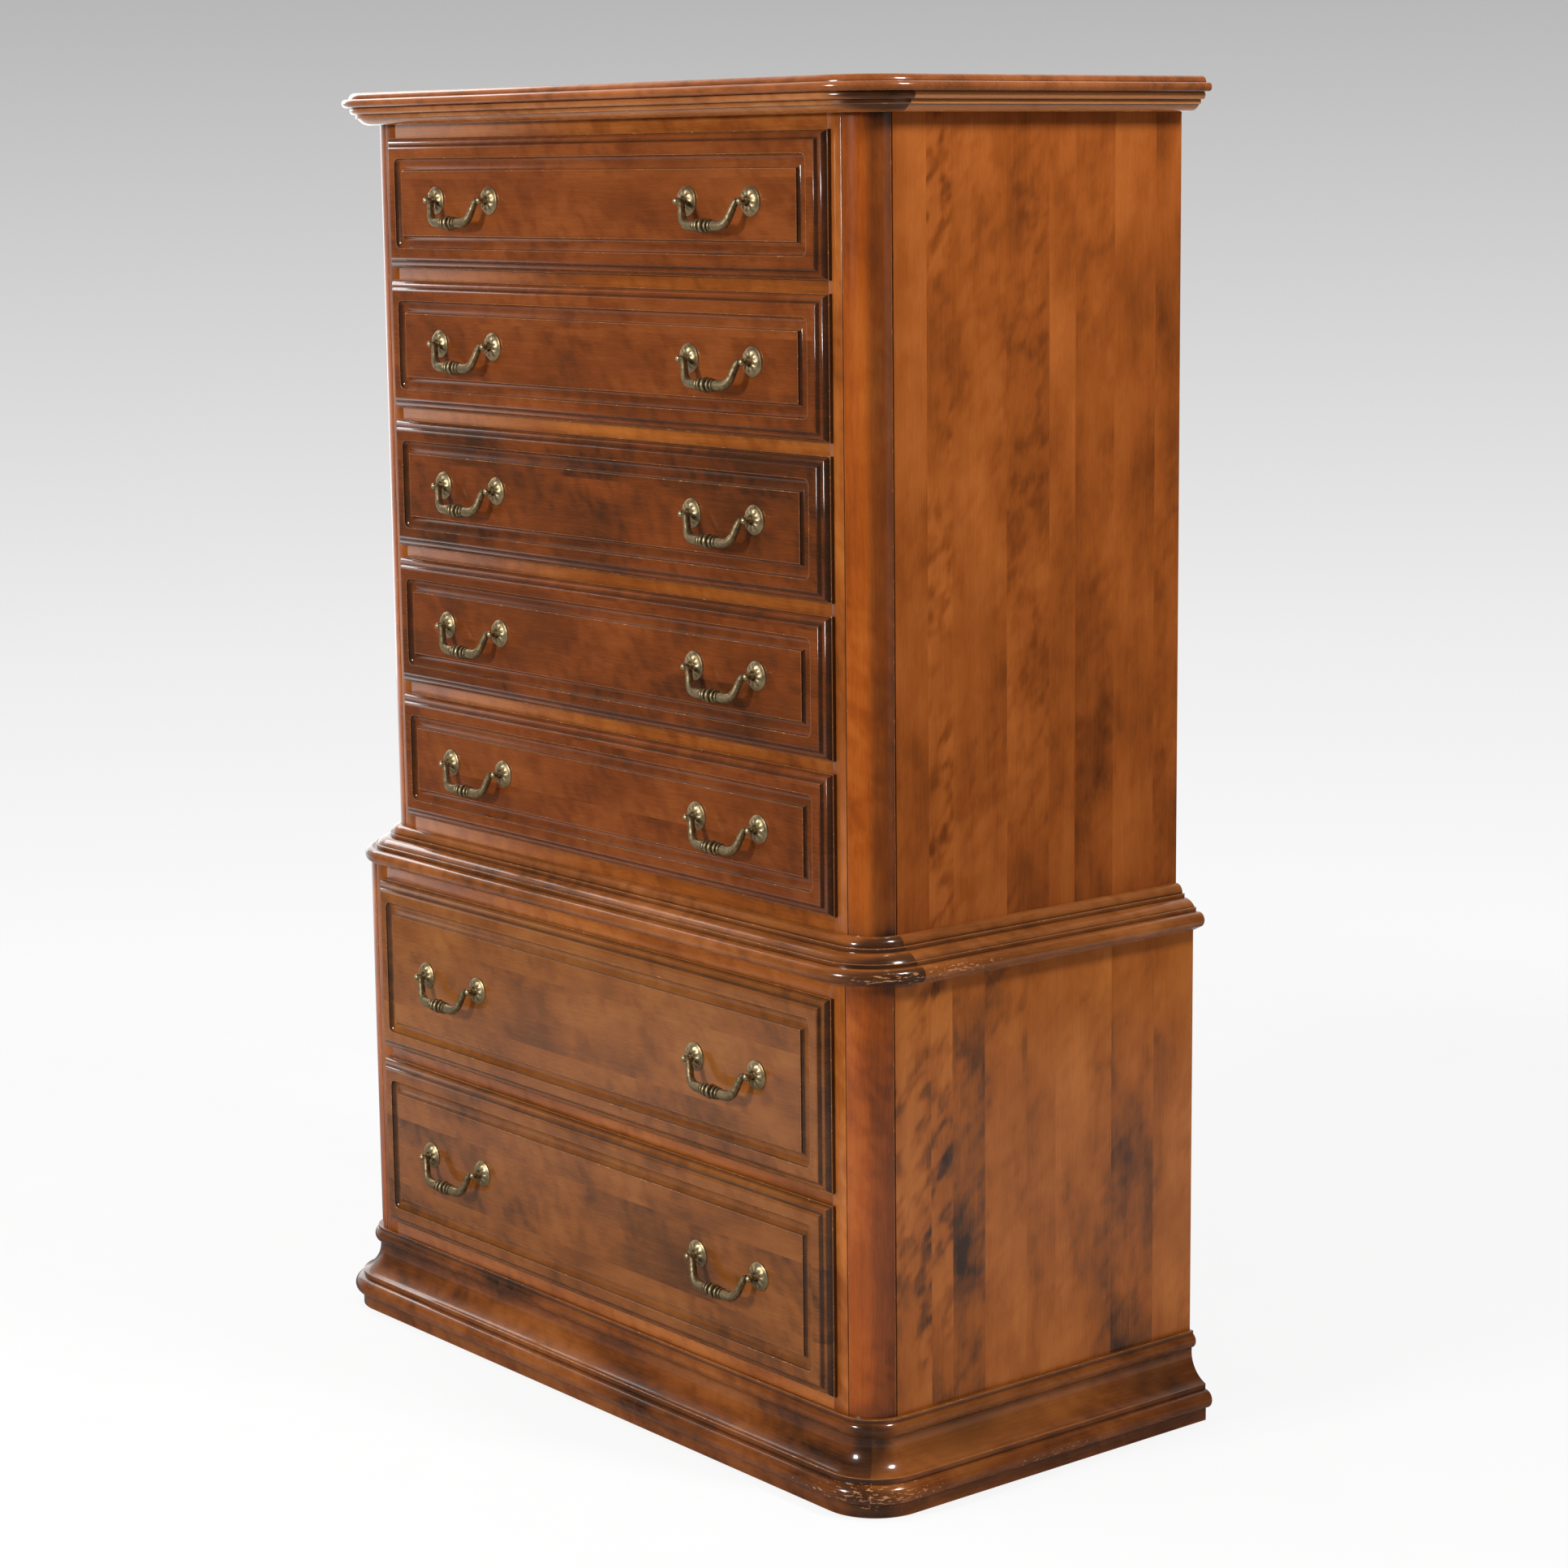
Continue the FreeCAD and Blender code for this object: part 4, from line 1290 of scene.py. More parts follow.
@dataclass
class Drawer:
    """A drawer with its front, box and two bail pulls.

    Attributes:
        number: Place from the top, from 1.
        tone: How much lighter its front is than the finish.
        front_finish: Finish of the front.
        box_finish: Finish of the box.
        brass: Finish of the pulls.
        groove: Distance in mm from the edge of the front to the middle of its groove.
        rounded_from: Distance in mm from the edge inside which the corners are rounded.
        corner_points: Points round each corner of the front.
        wall: Thickness of the sides and the back of the box.
        inner_front: Thickness of the inner front.
        under: Height of the bottom above the lower edge of the box.
        bottom: Thickness of the bottom.
        bottom_ease: Width of the eased arrises of the bottom.
    """

    number: int
    tone: float
    front_finish: bpy.types.Material
    box_finish: bpy.types.Material
    brass: bpy.types.Material
    groove: float = 32.0
    rounded_from: float = 23.4
    corner_points: int = 5
    wall: float = 12 * MM
    inner_front: float = 14 * MM
    under: float = 8 * MM
    bottom: float = 5 * MM
    bottom_ease: float = 0.3 * MM

    @property
    def name(self) -> str:
        """Name of the body."""
        return f"drawer_{self.number}"

    def edge(self) -> Section:
        """Draw the front from its back edge to the field.

        Returns:
            The section; out counts inward, up to the front.
        """
        edge = Section(0.0, 0.0, solid_left=False).to(0.0, 4.0).to(1.2, 4.0).bulge(9.0, 10.6, 1.9)
        edge.to(9.8, 11.4, stain=True).bulge(13.4, 14.5, 0.8).to(24.5, 14.5).to(24.5, 12.7)
        return edge.arc((self.groove, 9.0), 39.5, 12.7).to(39.5, 14.5).to(52.0, 14.5)

    def ring(self, mark: Mark, low: Vector, high: Vector) -> list[Vector]:
        """Lay one mark of the section round the front.

        Args:
            mark: The mark.
            low: Lowest corner of the front.
            high: Highest corner of the front.

        Returns:
            Places round the front, from the lower right corner.
        """
        rounded = mark.out > self.rounded_from * MM
        radius = max(0.0, self.groove * MM - mark.out) if rounded else 0.0
        inset = mark.out + radius
        middle = (low + high) / 2
        corners = ((high.x, low.z), (high.x, high.z), (low.x, high.z), (low.x, low.z))
        row = []
        for quarter, (x_edge, z_edge) in enumerate(corners):
            x_turn = x_edge - math.copysign(inset, x_edge - middle.x)
            z_turn = z_edge - math.copysign(inset, z_edge - middle.z)
            for step in range(self.corner_points):
                angle = math.pi / 2 * (quarter - 1 + step / (self.corner_points - 1))
                x_place, z_place = x_turn + radius * math.cos(angle), z_turn + radius * math.sin(angle)
                row.append(Vector((x_place, high.y - mark.up, z_place)))
        return row

    def front(self) -> None:
        """Build the front ring by ring, from the back edge to the field."""
        node = f"{self.name}_front"
        low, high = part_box(node)
        piece = Piece(f"{node}_moulded")
        marks = self.edge().marks(closed=False)
        piece.rings([self.ring(mark, low, high) for mark in marks], marks)
        piece.tint(self.tone)
        piece.lay_grain(Axis.X)
        piece.finish(self.name, "front_wood", self.front_finish, [node])

    def box(self) -> None:
        """Build the inner front, the sides, the back and the bottom."""
        node = f"{self.name}_box"
        low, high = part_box(node)
        piece = Piece(f"{node}_boards")
        inner = high.x - self.wall
        front = low.y + self.inner_front
        floor = low.z + self.under
        seat = floor + self.bottom
        piece.board(low, Vector((high.x, front, high.z)), Axis.X)
        piece.board(Vector((low.x, front, low.z)), Vector((-inner, high.y, high.z)), Axis.Y, 0.08)
        piece.board(Vector((inner, front, low.z)), high.copy(), Axis.Y, -0.06)
        piece.board(Vector((-inner, high.y - self.wall, seat)), Vector((inner, high.y, high.z)), Axis.X, 0.04)
        piece.board(Vector((-inner, front, floor)), Vector((inner, high.y, seat)), Axis.X, 0.12,
                    self.bottom_ease)
        piece.finish(self.name, "inner_wood", self.box_finish, [node], merge=False)

    def build(self) -> None:
        """Build the whole drawer."""
        self.front()
        self.box()
        Pulls(self.name, self.brass).build()


@dataclass
class Pulls:
    """The two bail pulls of a drawer.

    Attributes:
        drawer: Body of the drawer.
        brass: Finish of the pulls.
        spacing: Distance between the posts of a pull.
        standoff: Distance of the pivots from the front.
        rise: Height of the pivots above the middle of the front.
        tilt: Angle by which a hanging bail leans.
        dome: Radii in mm between which a rosette is embossed.
        dome_top: Height of the dome above the front.
        leaves: Number of leaves on a rosette.
        nut: Radii of a nut at its back and its front.
        nut_depth: Thickness of a nut.
        nut_inset: Distance of a nut's middle from the end of its stud.
        stud: Radii of a stud at its end and inside the nut.
        stud_length: Length of the end of a stud that shows inside the box.
        drop: Distance in mm from the pivots down to the middle of the grip.
        bend_start: Distance in mm from the middle of the bail to the start of an arm's bend.
        bend: Angle by which an arm rises from the grip.
        bend_radius: Radius in mm of the bend beside the grip.
        neck_radius: Radius in mm of the bend below the pivot.
        arm_radii: Radii in mm of an arm at the grip and at the neck.
        pin_radius: Radius in mm of the pins.
        old_brass: Glaze on the whole bail.
        rosette_sides: Steps round a rosette.
        grip_sides: Steps round a grip.
        arm_sides: Steps round an arm.
        stud_sides: Steps round a stud.
        nut_sides: Flats of a nut.
    """

    drawer: str
    brass: bpy.types.Material
    spacing: float = 111 * MM
    standoff: float = 14.5 * MM
    rise: float = 4 * MM
    tilt: float = math.radians(13)
    dome: Point = (5.8, 15.2)
    dome_top: float = 8 * MM
    leaves: int = 10
    nut: Point = (5 * MM, 4.6 * MM)
    nut_depth: float = 4 * MM
    nut_inset: float = 6 * MM
    stud: Point = (1.7 * MM, 2 * MM)
    stud_length: float = 8 * MM
    drop: float = 26.5
    bend_start: float = 26.0
    bend: float = math.radians(68)
    bend_radius: float = 16.0
    neck_radius: float = 4.8
    arm_radii: Point = (5.9, 3.2)
    pin_radius: float = 1.5
    old_brass: float = 0.25
    rosette_sides: int = 60
    grip_sides: int = 28
    arm_sides: int = 18
    stud_sides: int = 20
    nut_sides: int = 6

    def pivot(self, side: Side) -> Vector:
        """Find the middle between the pivots of a bail, on the face of the front.

        Args:
            side: Side of the pull.

        Returns:
            The place in metres.
        """
        low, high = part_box(f"{self.drawer}_front")
        bail_low, bail_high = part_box(f"{self.drawer}_bail_{side.word}")
        return Vector(((bail_low.x + bail_high.x) / 2, low.y, (low.z + high.z) / 2 + self.rise))

    def mounts(self) -> None:
        """Build the rosettes, their posts, the studs and the nuts inside."""
        node = f"{self.drawer}_pull_mounts"
        piece = Piece(f"{node}_turned")
        rosette = Section(16.4, 0.0).bulge(15.4, 2.0, 0.4).bulge(5.6, 6.3, 1.5).to(5.0, 5.2, stain=True)
        rosette.to(4.0, 5.0, stain=True).bulge(3.2, 6.8, -0.4).to(2.9, 11.46, stain=True)
        marks = rosette.arc((4.2, 14.5), 0.0, 18.7).marks(closed=False)
        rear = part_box(node)[1].y
        half = Vector((self.spacing / 2, 0.0, 0.0))
        for place in (self.pivot(pull) + end.value * half for pull in Side for end in Side):
            edges = piece.loop(marks, lambda mark: place + Vector((mark.out, -mark.up, 0.0)), closed=False)
            start = len(piece.mesh.verts) - len(marks)
            piece.spin(edges, place, -Axis.Y.unit, FULL_TURN, self.rosette_sides)
            piece.mesh.verts.ensure_lookup_table()
            for vert in piece.mesh.verts[start:]:
                self.emboss(piece, vert, place)
            seat = Vector((place.x, rear - self.nut_inset, place.z))
            piece.rod(seat, self.nut, self.nut_depth, self.nut_sides)
            middle = Vector((place.x, rear - self.stud_length / 2, place.z))
            piece.rod(middle, self.stud, self.stud_length, self.stud_sides)
        piece.finish(self.drawer, "pull_brass", self.brass, [node], sharp=40.0)

    def emboss(self, piece: Piece, vert: bmesh.types.BMVert, place: Vector) -> None:
        """Work a leaf pattern into the dome of a rosette.

        Args:
            piece: The piece that holds the rosette.
            vert: Point of the rosette.
            place: Middle of its foot.
        """
        offset = vert.co - place
        radius = math.hypot(offset.x, offset.z) / MM
        inner, outer = self.dome
        if not inner < radius < outer or -offset.y > self.dome_top:
            return
        angle = math.atan2(offset.z, offset.x)
        height = math.sin(math.pi * (radius - inner) / (outer - inner))
        leaf = math.cos(self.leaves * angle + 0.5 * math.sin(3 * angle))
        vein = math.cos(2 * self.leaves * angle + 1.1 * radius)
        vert.co.y -= height * (0.36 * leaf + 0.14 * vein) * MM
        vert[piece.glaze] += height * max(0.0, 0.25 - 0.4 * leaf - 0.15 * vein)
        vert[piece.wear] += height * max(0.0, leaf) * 0.5

    def arm_path(self, tip: float) -> list[tuple[Point, float]]:
        """Work out the way of a bail's arm from the grip to its pin.

        Args:
            tip: Distance in mm from the middle of the bail to the end of the pin.

        Returns:
            Points in mm with the heading in radians.
        """
        path = [((x_place, -self.drop), 0.0) for x_place in (16.0, 19.0, 22.5)]
        wide, tight = self.bend_radius, self.neck_radius
        for step in range(13):
            angle = self.bend * step / 12
            x_place, lifted = self.bend_start + wide * math.sin(angle), wide * (1 - math.cos(angle))
            path.append(((x_place, lifted - self.drop), angle))
        (x_bend, z_bend), _ = path[-1]
        rise = Vector((math.cos(self.bend), math.sin(self.bend)))
        for way in (4.0, 8.0, 11.5, 14.6):
            path.append(((x_bend + way * rise.x, z_bend + way * rise.y), self.bend))
        (x_neck, z_neck), _ = path[-1]
        x_turn, z_turn = x_neck + tight * rise.y, z_neck - tight * rise.x
        for step in range(1, 7):
            angle = self.bend * (1 - step / 6)
            path.append(((x_turn - tight * math.sin(angle), z_turn + tight * math.cos(angle)), angle))
        (x_end, _), _ = path[-1]
        return path + [((x_end + 0.2, 0.0), 0.0), ((tip, 0.0), 0.0)]

    def arm(self, piece: Piece, tip: float) -> None:
        """Build the right arm of a bail with its pin.

        Args:
            piece: The bail in the making.
            tip: Distance in mm from the middle of the bail to the end of the pin.
        """
        path = self.arm_path(tip)
        pin = len(path) - 2
        turns = [math.tau * step / self.arm_sides for step in range(self.arm_sides)]
        thick, thin = self.arm_radii
        rows = []
        marks = []
        for number, ((x_place, z_place), heading) in enumerate(path):
            share = number / (pin - 1)
            radius = self.pin_radius if number >= pin else thick - (thick - thin) * share ** 1.2
            across = Vector((-math.sin(heading), 0.0, math.cos(heading)))
            middle = Vector((x_place, 0.0, z_place))
            rows.append([(middle + radius * (across * math.cos(turn) + Axis.Y.unit * math.sin(turn))) * MM
                         for turn in turns])
            glaze = 0.25 + 0.2 * share if number else 0.4
            marks.append(Mark(0.0, 0.0, 0.0, glaze, 0.3 * (1 - share)))
        piece.rings(rows, marks)

    def bail(self, side: Side) -> None:
        """Build a bail: the turned grip, both arms and the pins.

        Args:
            side: Side of the pull.
        """
        node = f"{self.drawer}_bail_{side.word}"
        low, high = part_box(node)
        piece = Piece(f"{node}_turned")
        grip = Section(0.0, 8.6, solid_left=False).bulge(2.6, 5.2, 1.0).to(6.0, 5.2)
        grip.arc((8.0, 7.7), 10.0, 5.2).to(11.4, 5.2).arc((13.4, 6.9), 15.4, 5.2).to(17.0, 5.2)
        drop = Vector((0.0, 0.0, -self.drop * MM))
        marks = grip.marks(closed=False)
        edges = piece.loop(marks, lambda mark: Vector((mark.out, 0.0, mark.up)) + drop, closed=False)
        piece.spin(edges, drop, Axis.X.unit, FULL_TURN, self.grip_sides)
        self.arm(piece, (high.x - low.x) / 2 / MM)
        for vert in piece.mesh.verts:
            vert[piece.glaze] += self.old_brass
        piece.mirror()
        pivot = self.pivot(side) - Vector((0.0, self.standoff, 0.0))
        lean = Matrix.Rotation(-self.tilt, 3, "X")
        bmesh.ops.rotate(piece.mesh, verts=piece.mesh.verts[:], matrix=lean)
        bmesh.ops.translate(piece.mesh, verts=piece.mesh.verts[:], vec=pivot)
        piece.finish(node, "pull_brass", self.brass, [node], sharp=50.0)

    def build(self) -> None:
        """Build the mounts of both pulls and the two bails."""
        self.mounts()
        for side in Side:
            self.bail(side)


@dataclass(frozen=True)
class Lamp:
    """A soft lamp that points at the middle of the chest.

    Attributes:
        name: Name of the lamp.
        place: Where it stands.
        width: Width of its face.
        height: Height of its face.
        power: Power in watts.
        mirrored: Whether glossy surfaces show it.
        aim: Point that it faces.
    """

    name: str
    place: Triple
    width: float
    height: float
    power: float
    mirrored: bool = True
    aim: Triple = (0.0, 0.0, 0.8)

    def build(self) -> None:
        """Put the lamp into the scene."""
        data = bpy.data.lights.new(self.name, "AREA")
        data.shape = "RECTANGLE"
        data.size = self.width
        data.size_y = self.height
        data.energy = self.power
        lamp = link(self.name, data)
        lamp.location = self.place
        lamp.visible_glossy = self.mirrored
        lamp.rotation_euler = (Vector(self.aim) - Vector(self.place)).to_track_quat("-Z", "Y").to_euler()


@dataclass
class Studio:
    """Floor, light, surround and camera.

    Attributes:
        lamps: The lamps.
        floor_reach: Radius of the floor.
        floor_drop: How far the floor lies below the feet.
        behind: Direction from the chest to the backdrop that it mirrors.
        window: Direction of a pale strip that it mirrors.
        sweep: Greys of the backdrop by half the rise of the view, from the floor up.
        view: Degrees by which the camera is turned, lowered and rolled.
        stand: Place of the camera.
        lens: Focal length in mm on a sensor of 36 mm.
    """

    lamps: tuple[Lamp, ...]
    floor_reach: float = 3.2
    floor_drop: float = 0.5 * MM
    behind: Triple = (-0.78, 0.62, 0.0)
    window: Triple = (0.946, 0.326, 0.0)
    sweep: tuple[Point, ...] = ((0.142, 1.0), (0.277, 0.98), (0.366, 0.86), (0.456, 0.665), (0.543, 0.479),
                                (0.8, 0.4))
    view: Triple = (51.155, 9.855, -0.665)
    stand: Triple = (3.31749, -2.60157, 1.44524)
    lens: float = 82.29

    def paper(self) -> bpy.types.Material:
        """Make the pale floor that shows white and keeps the shadow.

        Returns:
            The material.
        """
        material = bpy.data.materials.new("studio_floor")
        wiring = Wiring.fresh(material)
        rays = wiring.add("LightPath").outputs
        direct = wiring.math("MAXIMUM", rays["Is Camera Ray"], rays["Is Glossy Ray"])
        seen = wiring.math("MAXIMUM", direct, rays["Is Transmission Ray"])
        place = wiring.place()
        reach = wiring.number("LENGTH", place)
        cloud = wiring.noise(place, (9, 9, 9), 3.0)
        fleck = wiring.ramp(cloud, ((0.3, grey(0.78)), (0.7, grey(0.82))))
        matte = wiring.add("BsdfDiffuse", {"Color": fleck}).outputs[0]
        # Glossy rays see the floor glow dimmer near the chest: painted shade of the chest in its reflections.
        level = wiring.math("MAXIMUM", rays["Is Camera Ray"], wiring.fit(reach, 0.65, 1.5, 0.05, 0.3))
        glow = wiring.add("Emission", {"Color": grey(1.0), "Strength": level}).outputs[0]
        share = wiring.math("MULTIPLY", seen, 0.85)
        white = wiring.add("MixShader", {0: share, 1: matte, 2: glow}).outputs[0]
        clear = wiring.add("BsdfTransparent").outputs[0]
        edge = wiring.fit(reach, 0.55 * self.floor_reach, 0.98 * self.floor_reach)
        surface = wiring.add("MixShader", {0: edge, 1: white, 2: clear}).outputs[0]
        wiring.add("OutputMaterial", {"Surface": surface})
        return material

    def floor(self) -> None:
        """Lay a round floor under the chest."""
        mesh = bmesh.new()
        down = Matrix.Translation((0.0, 0.0, -self.floor_drop))
        bmesh.ops.create_circle(mesh, cap_ends=True, segments=96, radius=self.floor_reach, matrix=down)
        data = bpy.data.meshes.new("studio_floor")
        mesh.to_mesh(data)
        mesh.free()
        data.materials.append(self.paper())
        link("studio_floor", data)

    def surround(self) -> None:
        """Set the world: grey to white behind the chest, plain fill, dim sides for reflections."""
        world = bpy.data.worlds.new("studio")
        bpy.context.scene.world = world
        wiring = Wiring.fresh(world)
        rays = wiring.add("LightPath").outputs
        way = wiring.add("TexCoord").outputs["Generated"]
        rise = wiring.math("MULTIPLY_ADD", wiring.split(way)["Z"], 1.0, 0.5)
        sweep = wiring.ramp(rise, [(place, grey(level)) for place, level in self.sweep])
        toward = wiring.number("DOT_PRODUCT", way, self.behind)
        pale = wiring.mix(0.6, sweep, grey(1.0))
        paper = wiring.mix(wiring.fit(toward, 0.25, 0.75), grey(0.03), pale)
        strip = wiring.number("DOT_PRODUCT", way, self.window)
        lit = wiring.mix(wiring.fit(strip, 0.965, 0.99, 0.0, 0.3), paper, grey(1.0))
        mirrored = wiring.math("MAXIMUM", rays["Is Glossy Ray"], rays["Is Transmission Ray"])
        fill = wiring.mix(mirrored, grey(0.23), lit)
        colour = wiring.mix(rays["Is Camera Ray"], fill, sweep)
        shade = wiring.add("Background", {"Color": colour, "Strength": 1.0}).outputs[0]
        wiring.add("OutputWorld", {"Surface": shade})

    def camera(self) -> None:
        """Set the camera to the view of the photo."""
        yaw, pitch, roll = (math.radians(angle) for angle in self.view)
        flat = math.cos(pitch)
        forward = Vector((-math.sin(yaw) * flat, math.cos(yaw) * flat, -math.sin(pitch)))
        level = Vector((math.cos(yaw), math.sin(yaw), 0.0))
        upright = level.cross(forward)
        right = math.cos(roll) * level + math.sin(roll) * upright
        up = math.cos(roll) * upright - math.sin(roll) * level
        turn = Matrix((right, up, -forward)).transposed().to_4x4()
        data = bpy.data.cameras.new("camera")
        data.sensor_width = 36.0
        data.lens = self.lens
        camera = link("camera", data)
        camera.matrix_world = Matrix.Translation(self.stand) @ turn
        bpy.context.scene.camera = camera

    def build(self) -> None:
        """Build the studio."""
        self.floor()
        self.surround()
        for lamp in self.lamps:
            lamp.build()
        self.camera()
        bpy.context.scene.view_settings.view_transform = "Standard"
        log.info("studio: floor, surround, %d lamps, camera", len(self.lamps))


LAMPS = (
    Lamp("front_lamp", (-0.15, -4.4, 2.4), 0.75, 0.75, 122.0),
    Lamp("side_lamp", (1.95, 0.36, 2.7), 0.42, 0.42, 44.0),
    Lamp("roof_lamp", (-0.4, -1.4, 3.6), 2.4, 2.4, 58.0, mirrored=False),
    Lamp("left_lamp", (-2.2, 0.0, 2.15), 0.7, 1.4, 11.0),
    Lamp("wall_lamp", (-3.5, 0.9, 1.5), 1.4, 2.4, 11.0),
)
# Each upper stave's last value mostly darkens it toward the foot: painted shade of light falling off
# downward.
GLUED_UPPER = (
    Stave(-0.5, 0.02, 0.08, -0.12),
    Stave(-0.112, 0.0, 0.45, -0.05),
    Stave(-0.077, 0.0, 0.15, 0.05),
    Stave(0.003, -0.02, 0.2),
    Stave(0.063, 0.03, 0.08, -0.05),
    Stave(0.105, -0.02, 0.12, -0.18),
    Stave(0.162, 0.03, 0.06, -0.04),
    Stave(0.226, -0.03, 0.12, -0.08),
)
GLUED_LOWER = (
    Stave(-0.5, -0.04, 0.4),
    Stave(-0.135, -0.07, 0.4),
    Stave(-0.103, -0.285, 0.15),
    Stave(-0.057, 0.03, 0.15),
    Stave(0.004, 0.08, 0.1),
    Stave(0.05, 0.05, 0.15),
    Stave(0.133, -0.13, 0.12),
    Stave(0.2, 0.06, 0.2),
)
FINISHES = {
    "upper_side": WoodFinish("case_side_upper", (84, 40, 14), (150, 77, 27), (182, 102, 44), Axis.Z,
                             laid=False, streak=0.14, fibre=0.08, blotch=0.55, staves=GLUED_UPPER),
    "lower_side": WoodFinish("case_side_lower", (60, 39, 26), (160, 86, 29), (188, 110, 46), Axis.Z,
                             laid=False, streak=0.12, fibre=0.07, blotch=0.65, staves=GLUED_LOWER),
    "post": WoodFinish("post_wood", (94, 40, 10), (157, 75, 19), (188, 103, 37), Axis.Z,
                       streak=0.2, fibre=0.12),
    "frame": WoodFinish("frame_wood", (98, 48, 16), (148, 79, 28), (184, 108, 46), Axis.X,
                        end=0.0, fibre=0.14),
    "upper_front": WoodFinish("upper_front_wood", (64, 35, 18), (112, 55, 21), (142, 76, 33), Axis.X,
                              streak=0.14, fibre=0.12, blotch=0.48, strip=72 * MM),
    "lower_front": WoodFinish("lower_front_wood", (76, 44, 20), (129, 73, 29), (154, 95, 43), Axis.X,
                              streak=0.12, fibre=0.12, blotch=0.6, strip=84 * MM),
    "base": WoodFinish("base_wood", (50, 28, 14), (119, 63, 24), (152, 88, 38), Axis.X,
                       streak=0.16, fibre=0.12, blotch=0.85),
    "waist": WoodFinish("waist_wood", (78, 40, 16), (140, 79, 34), (174, 106, 56), Axis.X,
                        streak=0.25, fibre=0.14),
    "cornice": WoodFinish("cornice_wood", (108, 58, 28), (170, 102, 54), (198, 130, 78), Axis.X,
                          streak=0.2, fibre=0.14),
    "top": WoodFinish("top_wood", (80, 40, 18), (142, 78, 37), (174, 104, 56), Axis.X,
                      streak=0.25, fibre=0.14, blotch=0.4, end=0.15, strip=88 * MM),
    "box": WoodFinish("box_wood", (150, 112, 72), (196, 158, 112), (220, 186, 142), Axis.X,
                      end=0.2, coat=0.0, gloss=0.2),
    "runner": WoodFinish("runner_wood", (140, 104, 66), (184, 146, 102), (208, 172, 128), Axis.Y,
                         laid=False, end=0.2, coat=0.0, gloss=0.2),
    "panel": WoodFinish("back_panel_wood", (120, 82, 46), (166, 122, 78), (192, 148, 100), Axis.Z,
                        laid=False, end=0.1, blotch=0.2, coat=0.0, gloss=0.2),
    "brass": MetalFinish("pull_brass", (211, 187, 143), (80, 62, 40)),
    "steel": MetalFinish("screw_steel", (150, 148, 144), (70, 68, 66)),
}
KEPT = {
    "upper_side": ("upper_side_left", "upper_side_right"),
    "lower_side": ("lower_side_left", "lower_side_right"),
    "runner": ("upper_runners", "lower_runners", "upper_bottom_board", "lower_top_board"),
    "panel": ("upper_back_panel", "lower_back_panel"),
    "steel": ("fixing_screws",),
}
BASE_SPOTS = (
    Spot(Layer.SCUFF, (0.50, -0.22, 0.026), (0.09, 0.09, 0.018), 0.9),
    Spot(Layer.SCUFF, (0.53, 0.02, 0.022), (0.05, 0.12, 0.010), 0.7),
    Spot(Layer.SCUFF, (-0.53, -0.24, 0.026), (0.03, 0.03, 0.016), 0.7),
    Spot(Layer.GLAZE, (0.38, -0.23, 0.075), (0.05, 0.05, 0.02), 0.5),
    Spot(Layer.GLAZE, (0.50, -0.09, 0.070), (0.05, 0.06, 0.02), 0.5),
    Spot(Layer.GLAZE, (0.50, 0.20, 0.060), (0.05, 0.05, 0.02), 0.8),
)
WAIST_SPOTS = (
    Spot(Layer.SCUFF, (0.50, -0.22, 0.590), (0.05, 0.04, 0.008), 0.75),
    Spot(Layer.SCUFF, (0.51, -0.11, 0.592), (0.05, 0.09, 0.009), 0.85),
)
DRAWER_TONES = (0.06, 0.05, -0.16, -0.08, 0.04, 0.06, -0.1)
UPPER_DRAWERS = range(1, 6)
LOWER_DRAWERS = range(6, 8)


def base_section() -> Section:
    """Plinth, torus, fillet, hollow and bead of the base."""
    section = Section(0.0, 0.0).to(27.0, 0.0).to(27.0, 15.5).arc((37.0, 26.5), 26.0, 37.5).to(26.0, 44.0)
    return section.bulge(3.5, 82.0, -7.5).arc((10.0, 90.5), 5.5, 99.0).to(5.5, 103.0).to(0.0, 103.0)


def waist_section() -> Section:
    """Draw the lip, torus, ogee and ovolo of the waist.

    Returns:
        The section.
    """
    section = Section(0.0, 6.0).to(28.0, 6.0).to(28.0, 0.0).to(40.0, 6.0).arc((46.0, 14.5), 36.0, 23.0)
    section.to(32.5, 23.0).to(32.5, 27.5).to(30.0, 27.5).bulge(14.0, 36.0, 2.2).to(14.0, 40.5)
    return section.to(10.5, 40.5).bulge(0.8, 51.0, 3.0).to(0.0, 51.0)


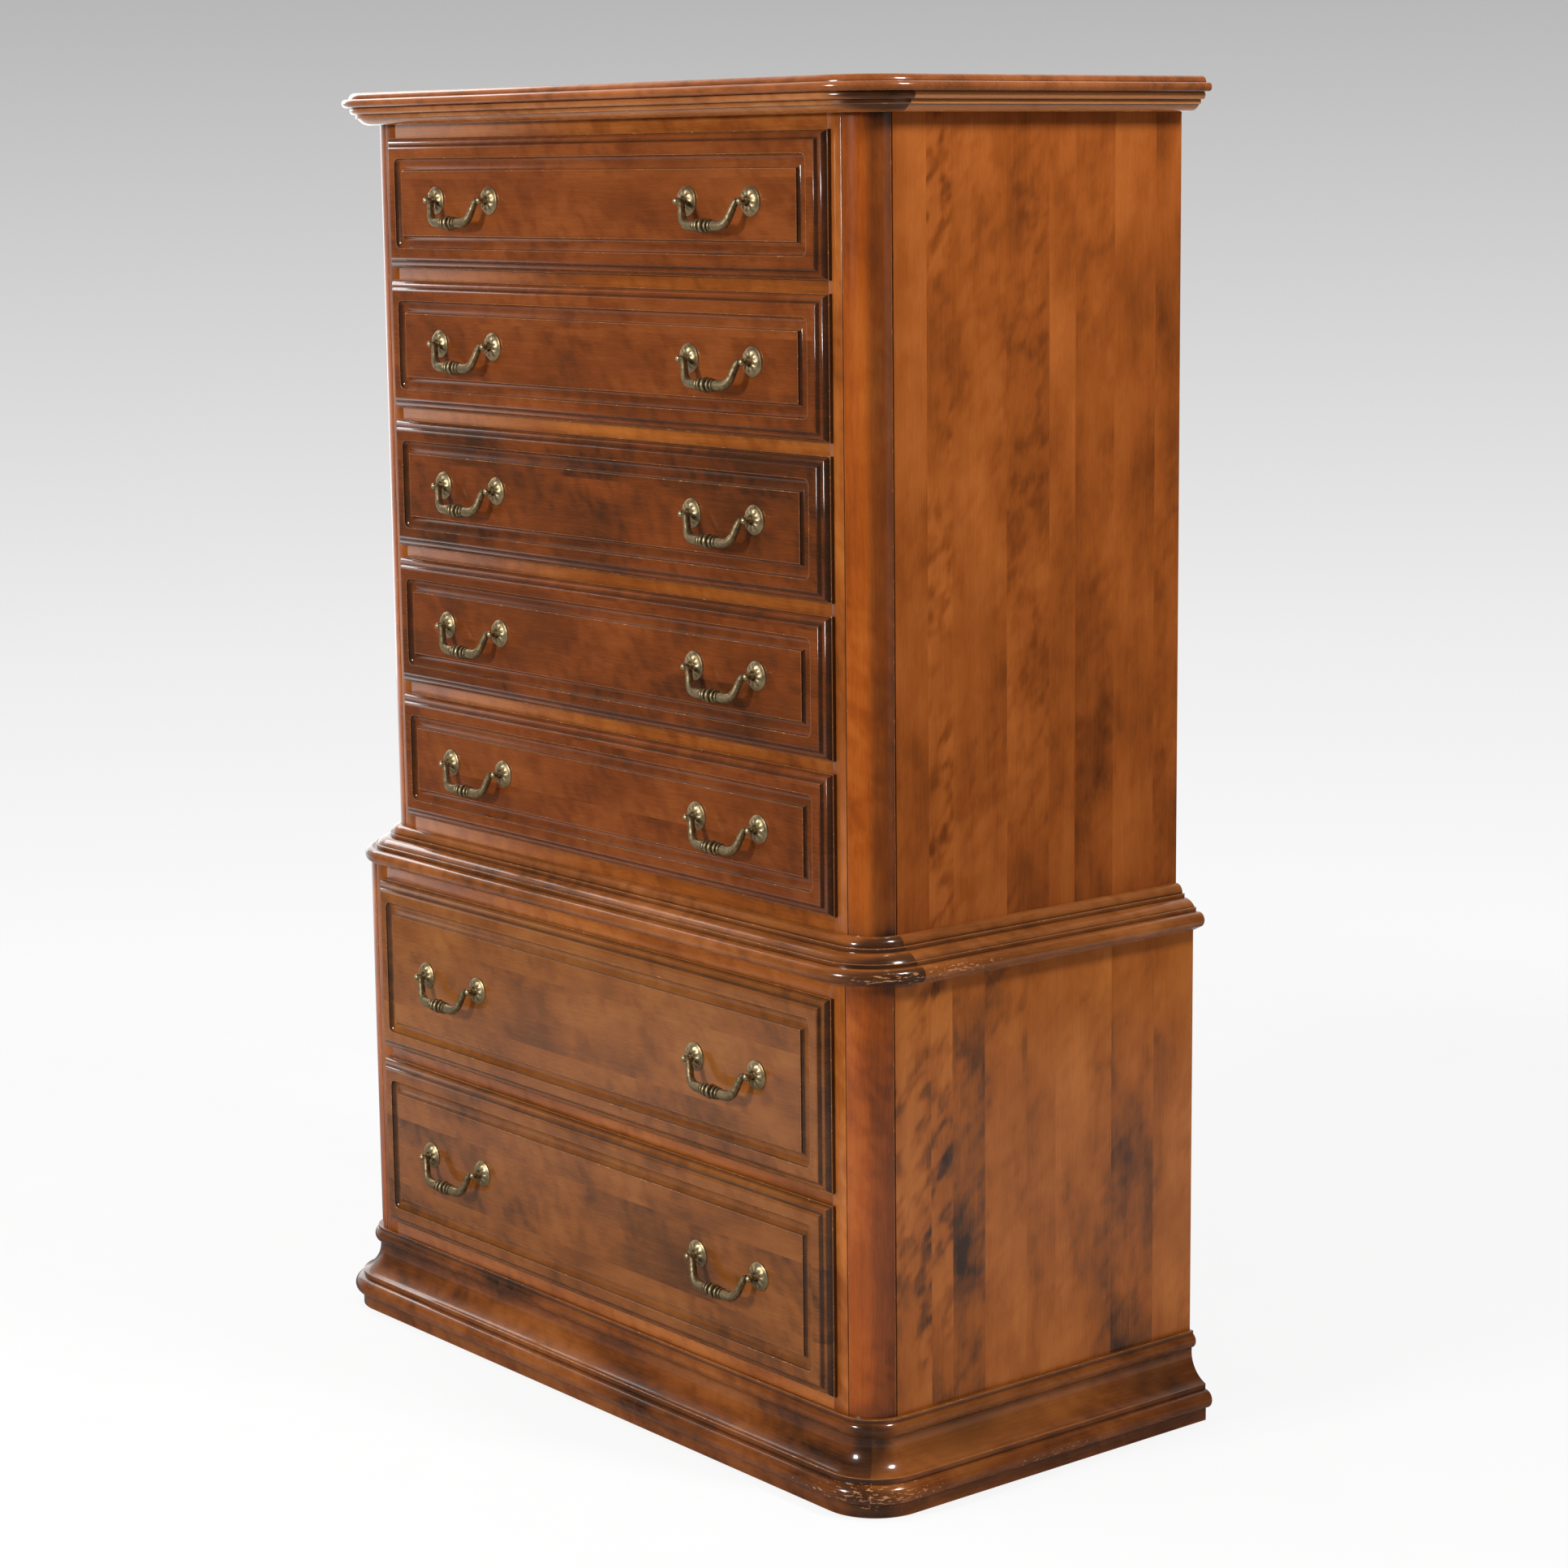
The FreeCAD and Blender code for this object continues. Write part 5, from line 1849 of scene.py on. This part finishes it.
def cornice_section() -> Section:
    """Ovolo, fillet and bead of the cornice."""
    section = Section(0.0, 0.0).to(10.0, 0.0).bulge(27.0, 8.0, 2.5).to(29.5, 8.0).to(29.5, 13.0)
    return section.to(33.0, 13.0).arc((36.5, 17.5), 33.0, 22.0).to(0.0, 22.0)


def top_section() -> Section:
    """Rounded edge of the top board."""
    section = Section(0.0, 0.0).to(39.0, 0.0).arc((46.0, 4.5), 39.0, 9.0).to(37.5, 9.0)
    return section.bulge(30.0, 17.0, 2.2).to(0.0, 17.0)


def main() -> None:
    """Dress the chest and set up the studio."""
    logging.basicConfig(level=logging.INFO, format="%(name)s: %(message)s")
    materials = {name: finish.material() for name, finish in FINISHES.items()}
    for finish, nodes in KEPT.items():
        for node in nodes:
            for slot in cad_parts[node].material_slots:
                slot.material = materials[finish]
            log.info("%s keeps its shape", node)
    upper, lower = Case.read("upper"), Case.read("lower")
    runs = (("base", lower, base_section(), 45.0, (-0.05, 0.07), BASE_SPOTS),
            ("waist", upper, waist_section(), 90.0, (-0.07, 0.0), WAIST_SPOTS),
            # The cornice's side runs are painted 0.45 lighter: painted light from the right falling on them.
            ("cornice", upper, cornice_section(), 90.0, (0.0, 0.45), ()))
    for name, case, section, turn, tones, spots in runs:
        along_side = replace(FINISHES[name], name=f"{name}_side_wood", axis=Axis.Y).material()
        Moulding(name, case, section, turn, materials[name], along_side, tones, spots).build()
    TopBoard(upper, top_section(), materials["top"]).build()
    base, waist, cornice = (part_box(f"{name}_front") for name in ("base", "waist", "cornice"))
    # The posts' third value is painted shade toward the side of each round.
    CornerPosts(lower, (base[1].z, waist[0].z), 0.34, materials["post"]).build()
    CornerPosts(upper, (waist[1].z, cornice[0].z), 0.6, materials["post"]).build()
    FaceFrame(upper, UPPER_DRAWERS, materials["frame"]).build()
    FaceFrame(lower, LOWER_DRAWERS, materials["frame"]).build()
    for number, tone in enumerate(DRAWER_TONES, 1):
        front = materials["upper_front" if number in UPPER_DRAWERS else "lower_front"]
        Drawer(number, tone, front, materials["box"], materials["brass"]).build()
    Studio(LAMPS).build()


if __name__ == "__main__":
    main()
